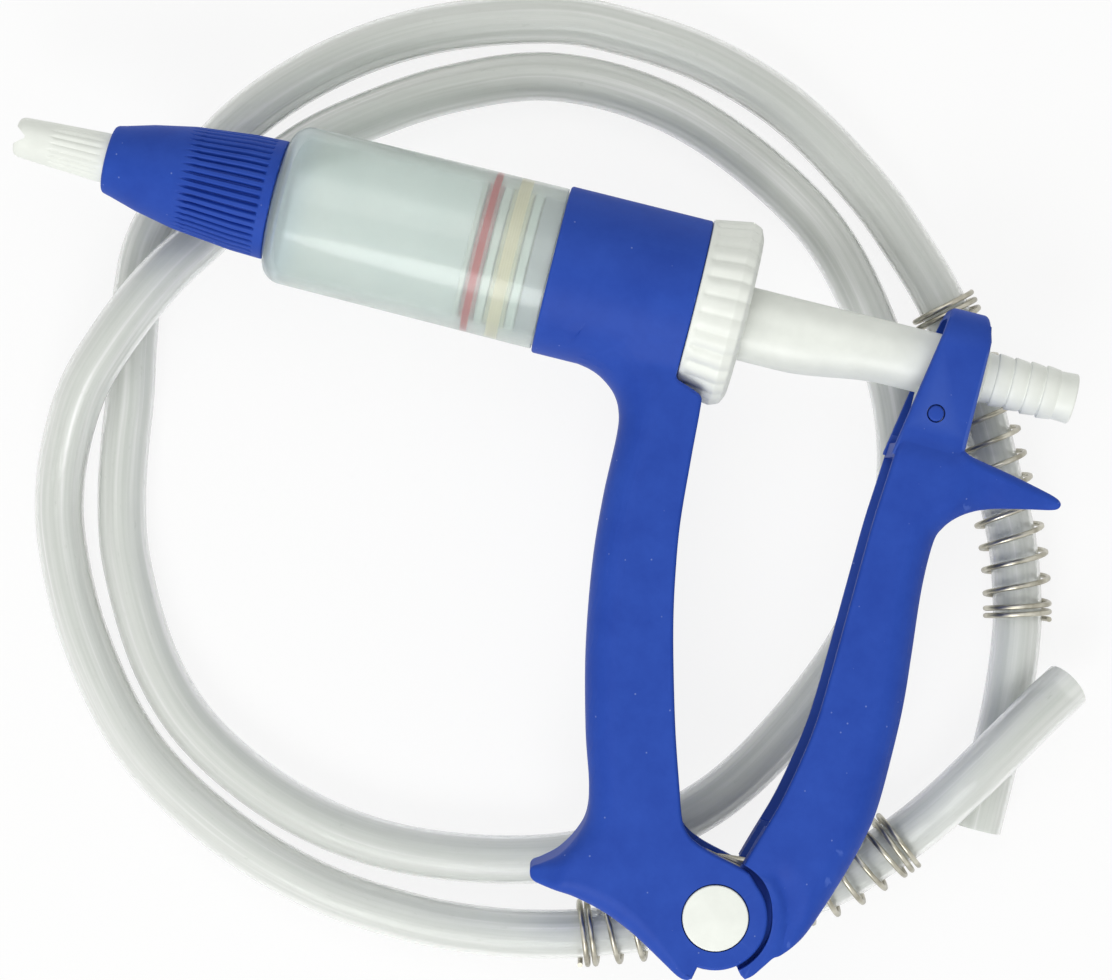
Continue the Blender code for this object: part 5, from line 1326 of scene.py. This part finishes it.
nut_shape = softened(
    [
        (NUT_REAR, SLEEVE_RADIUS - 1.1), (-31.5, SLEEVE_RADIUS - 1.1), (-31.5, SLEEVE_RADIUS + GAP),
        (-45.4, SLEEVE_RADIUS + GAP), (-45.4, 16.8, 0.5), (-43.6, 16.8, 0.4), (-43.5, 15.5),
        (NUT_FRONT, 15.5), (NUT_FRONT, NUT_RADIUS - 1.6, 0.5), (-30.6, NUT_RADIUS, 1.3),
        (-28.2, NUT_RADIUS - 0.9, 1.2), (NUT_REAR, NUT_RADIUS - 3.2, 0.8),
    ],
    8,
)
nut = blank("dose_dial", lathed(nut_shape, NUT_LOBES * 13, longest=0.7))
lobes_end = {"front": (NUT_FRONT + 0.9, 0.8), "rear": (NUT_REAR + 2.0, 1.0)}
furrowed(nut, white_plastic, NUT_LOBES, FURROW_UP, depth=0.6, walls=(0.0, 1.0), **lobes_end)
fit(nut, "dose_nut", "white_plastic", white_plastic, "dose_nut", crease=50.0)

# The nose cap: a tapered blue screw cap with forty-four lengthwise grooves for the fingers. It clamps the
# outlet valve's seat and a rubber seal against the barrel's neck and lets the nozzle through.
CAP_FRONT = -184.4
CAP_REAR = -143.0
CAP_GROOVES = 44
# How wide the bloom on the black rubber is.
GASKET_BLOOM = 3.333


def nitrile_rubber():
    """Nitrile rubber, moulded: black and matt with a faint bloom."""
    made, tree = new_material("nitrile_rubber")
    spot = add(tree, "ShaderNodeTexCoord").outputs["Object"]
    bloom = {"Vector": spot, "Scale": 1.0 / (GASKET_BLOOM * MM), "Detail": 3.0}
    bloom = add(tree, "ShaderNodeTexNoise", bloom)
    tone = add(tree, "ShaderNodeValToRGB", {"Fac": bloom}, stops=((0.0, "#1B1B1C"), (1.0, "#2A2A2B")))
    skin = add(tree, "ShaderNodeBsdfPrincipled", {"Base Color": tone, "Roughness": 0.7, "IOR": 1.52})
    add(tree, "ShaderNodeOutputMaterial", {"Surface": skin})
    return made


cap_shape = softened(
    [
        (CAP_FRONT, 6.4), (CAP_FRONT, 8.1, 1.2), (CAP_FRONT + 2.6, 8.75, 3.0), (-175.3, 10.6, 12.0),
        (-165.5, 12.6, 20.0), (-150.8, 14.2, 14.0), (CAP_REAR, 14.5, 0.4), (CAP_REAR, NECK_RADIUS + GAP),
        (-162.4, NECK_RADIUS + GAP), (-162.4, 8.3), (-182.4, 8.3), (-182.4, 6.4),
    ],
    6,
)
cap = blank("screw_cap", lathed(cap_shape, CAP_GROOVES * 12, longest=0.7))
grooves_end = {"front": (-166.2, 4.6), "rear": (-145.5, 0.7)}
furrowed(cap, blue_plastic, CAP_GROOVES, CREST_UP, depth=1.1, walls=(0.26, 0.62), **grooves_end)
fit(cap, "gun_body", "blue_plastic", blue_plastic, "nose_cap", crease=50.0)
keep("neck_seal", nitrile_rubber())
keep("outlet_seat", white_plastic)
keep("outlet_valve", white_plastic)

# The nozzle: a white tapered spout with fine flutes, cut to a fork at its tip so that it parts the coat.
# Inside it a light spring keeps the outlet valve shut.
NOZZLE_TIP = -207.1
NOZZLE_FLUTES = 20
FLANGE_REAR = -180.1
nozzle_shape = softened(
    [
        (FLANGE_REAR, 2.0), (FLANGE_REAR, 8.0, 0.3), (FLANGE_REAR - 2.0, 8.0, 0.3), (FLANGE_REAR - 2.0, 6.1),
        (CAP_FRONT - 2.2, 6.0), (-199.0, 5.3), (NOZZLE_TIP + 1.4, 4.85, 2.0), (NOZZLE_TIP, 4.4, 1.2),
        (NOZZLE_TIP, 2.0),
    ],
    8,
)
nozzle = blank("spout", lathed(nozzle_shape, NOZZLE_FLUTES * 12, longest=0.5))
flutes_end = {"front": (-198.9, 1.6), "rear": (CAP_FRONT - 1.2, 0.8)}
furrowed(nozzle, white_plastic, NOZZLE_FLUTES, FURROW_UP, depth=0.30, walls=(0.0, 1.0), **flutes_end)
notch = softened(
    [
        (NOZZLE_TIP - 2.0, -4.6), (NOZZLE_TIP + 0.3, -2.0, 0.9), (NOZZLE_TIP + 2.6, -0.25, 0.2),
        (NOZZLE_TIP + 2.6, 0.25, 0.2), (NOZZLE_TIP + 0.3, 2.0, 0.9), (NOZZLE_TIP - 2.0, 4.6),
    ]
)
carve(nozzle, "DIFFERENCE", prism([(x, BARREL_Y + y) for x, y in notch], -9.0, 9.0))
fit(nozzle, "gun_body", "white_plastic", white_plastic, "nozzle", crease=40.0)
valve_low, valve_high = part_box("outlet_valve")
outlet_rear = valve_low.x / MM + 4.8 - VALVE_TRAVEL - 0.7
outlet_coil = valve_spring("outlet_valve_spring", FLANGE_REAR + 0.7, outlet_rear, 4.0, 0.4, 2.6)
fit(outlet_coil, "gun_body", "spring_steel", spring_steel, "outlet_spring", crease=SOFT_CREASE)
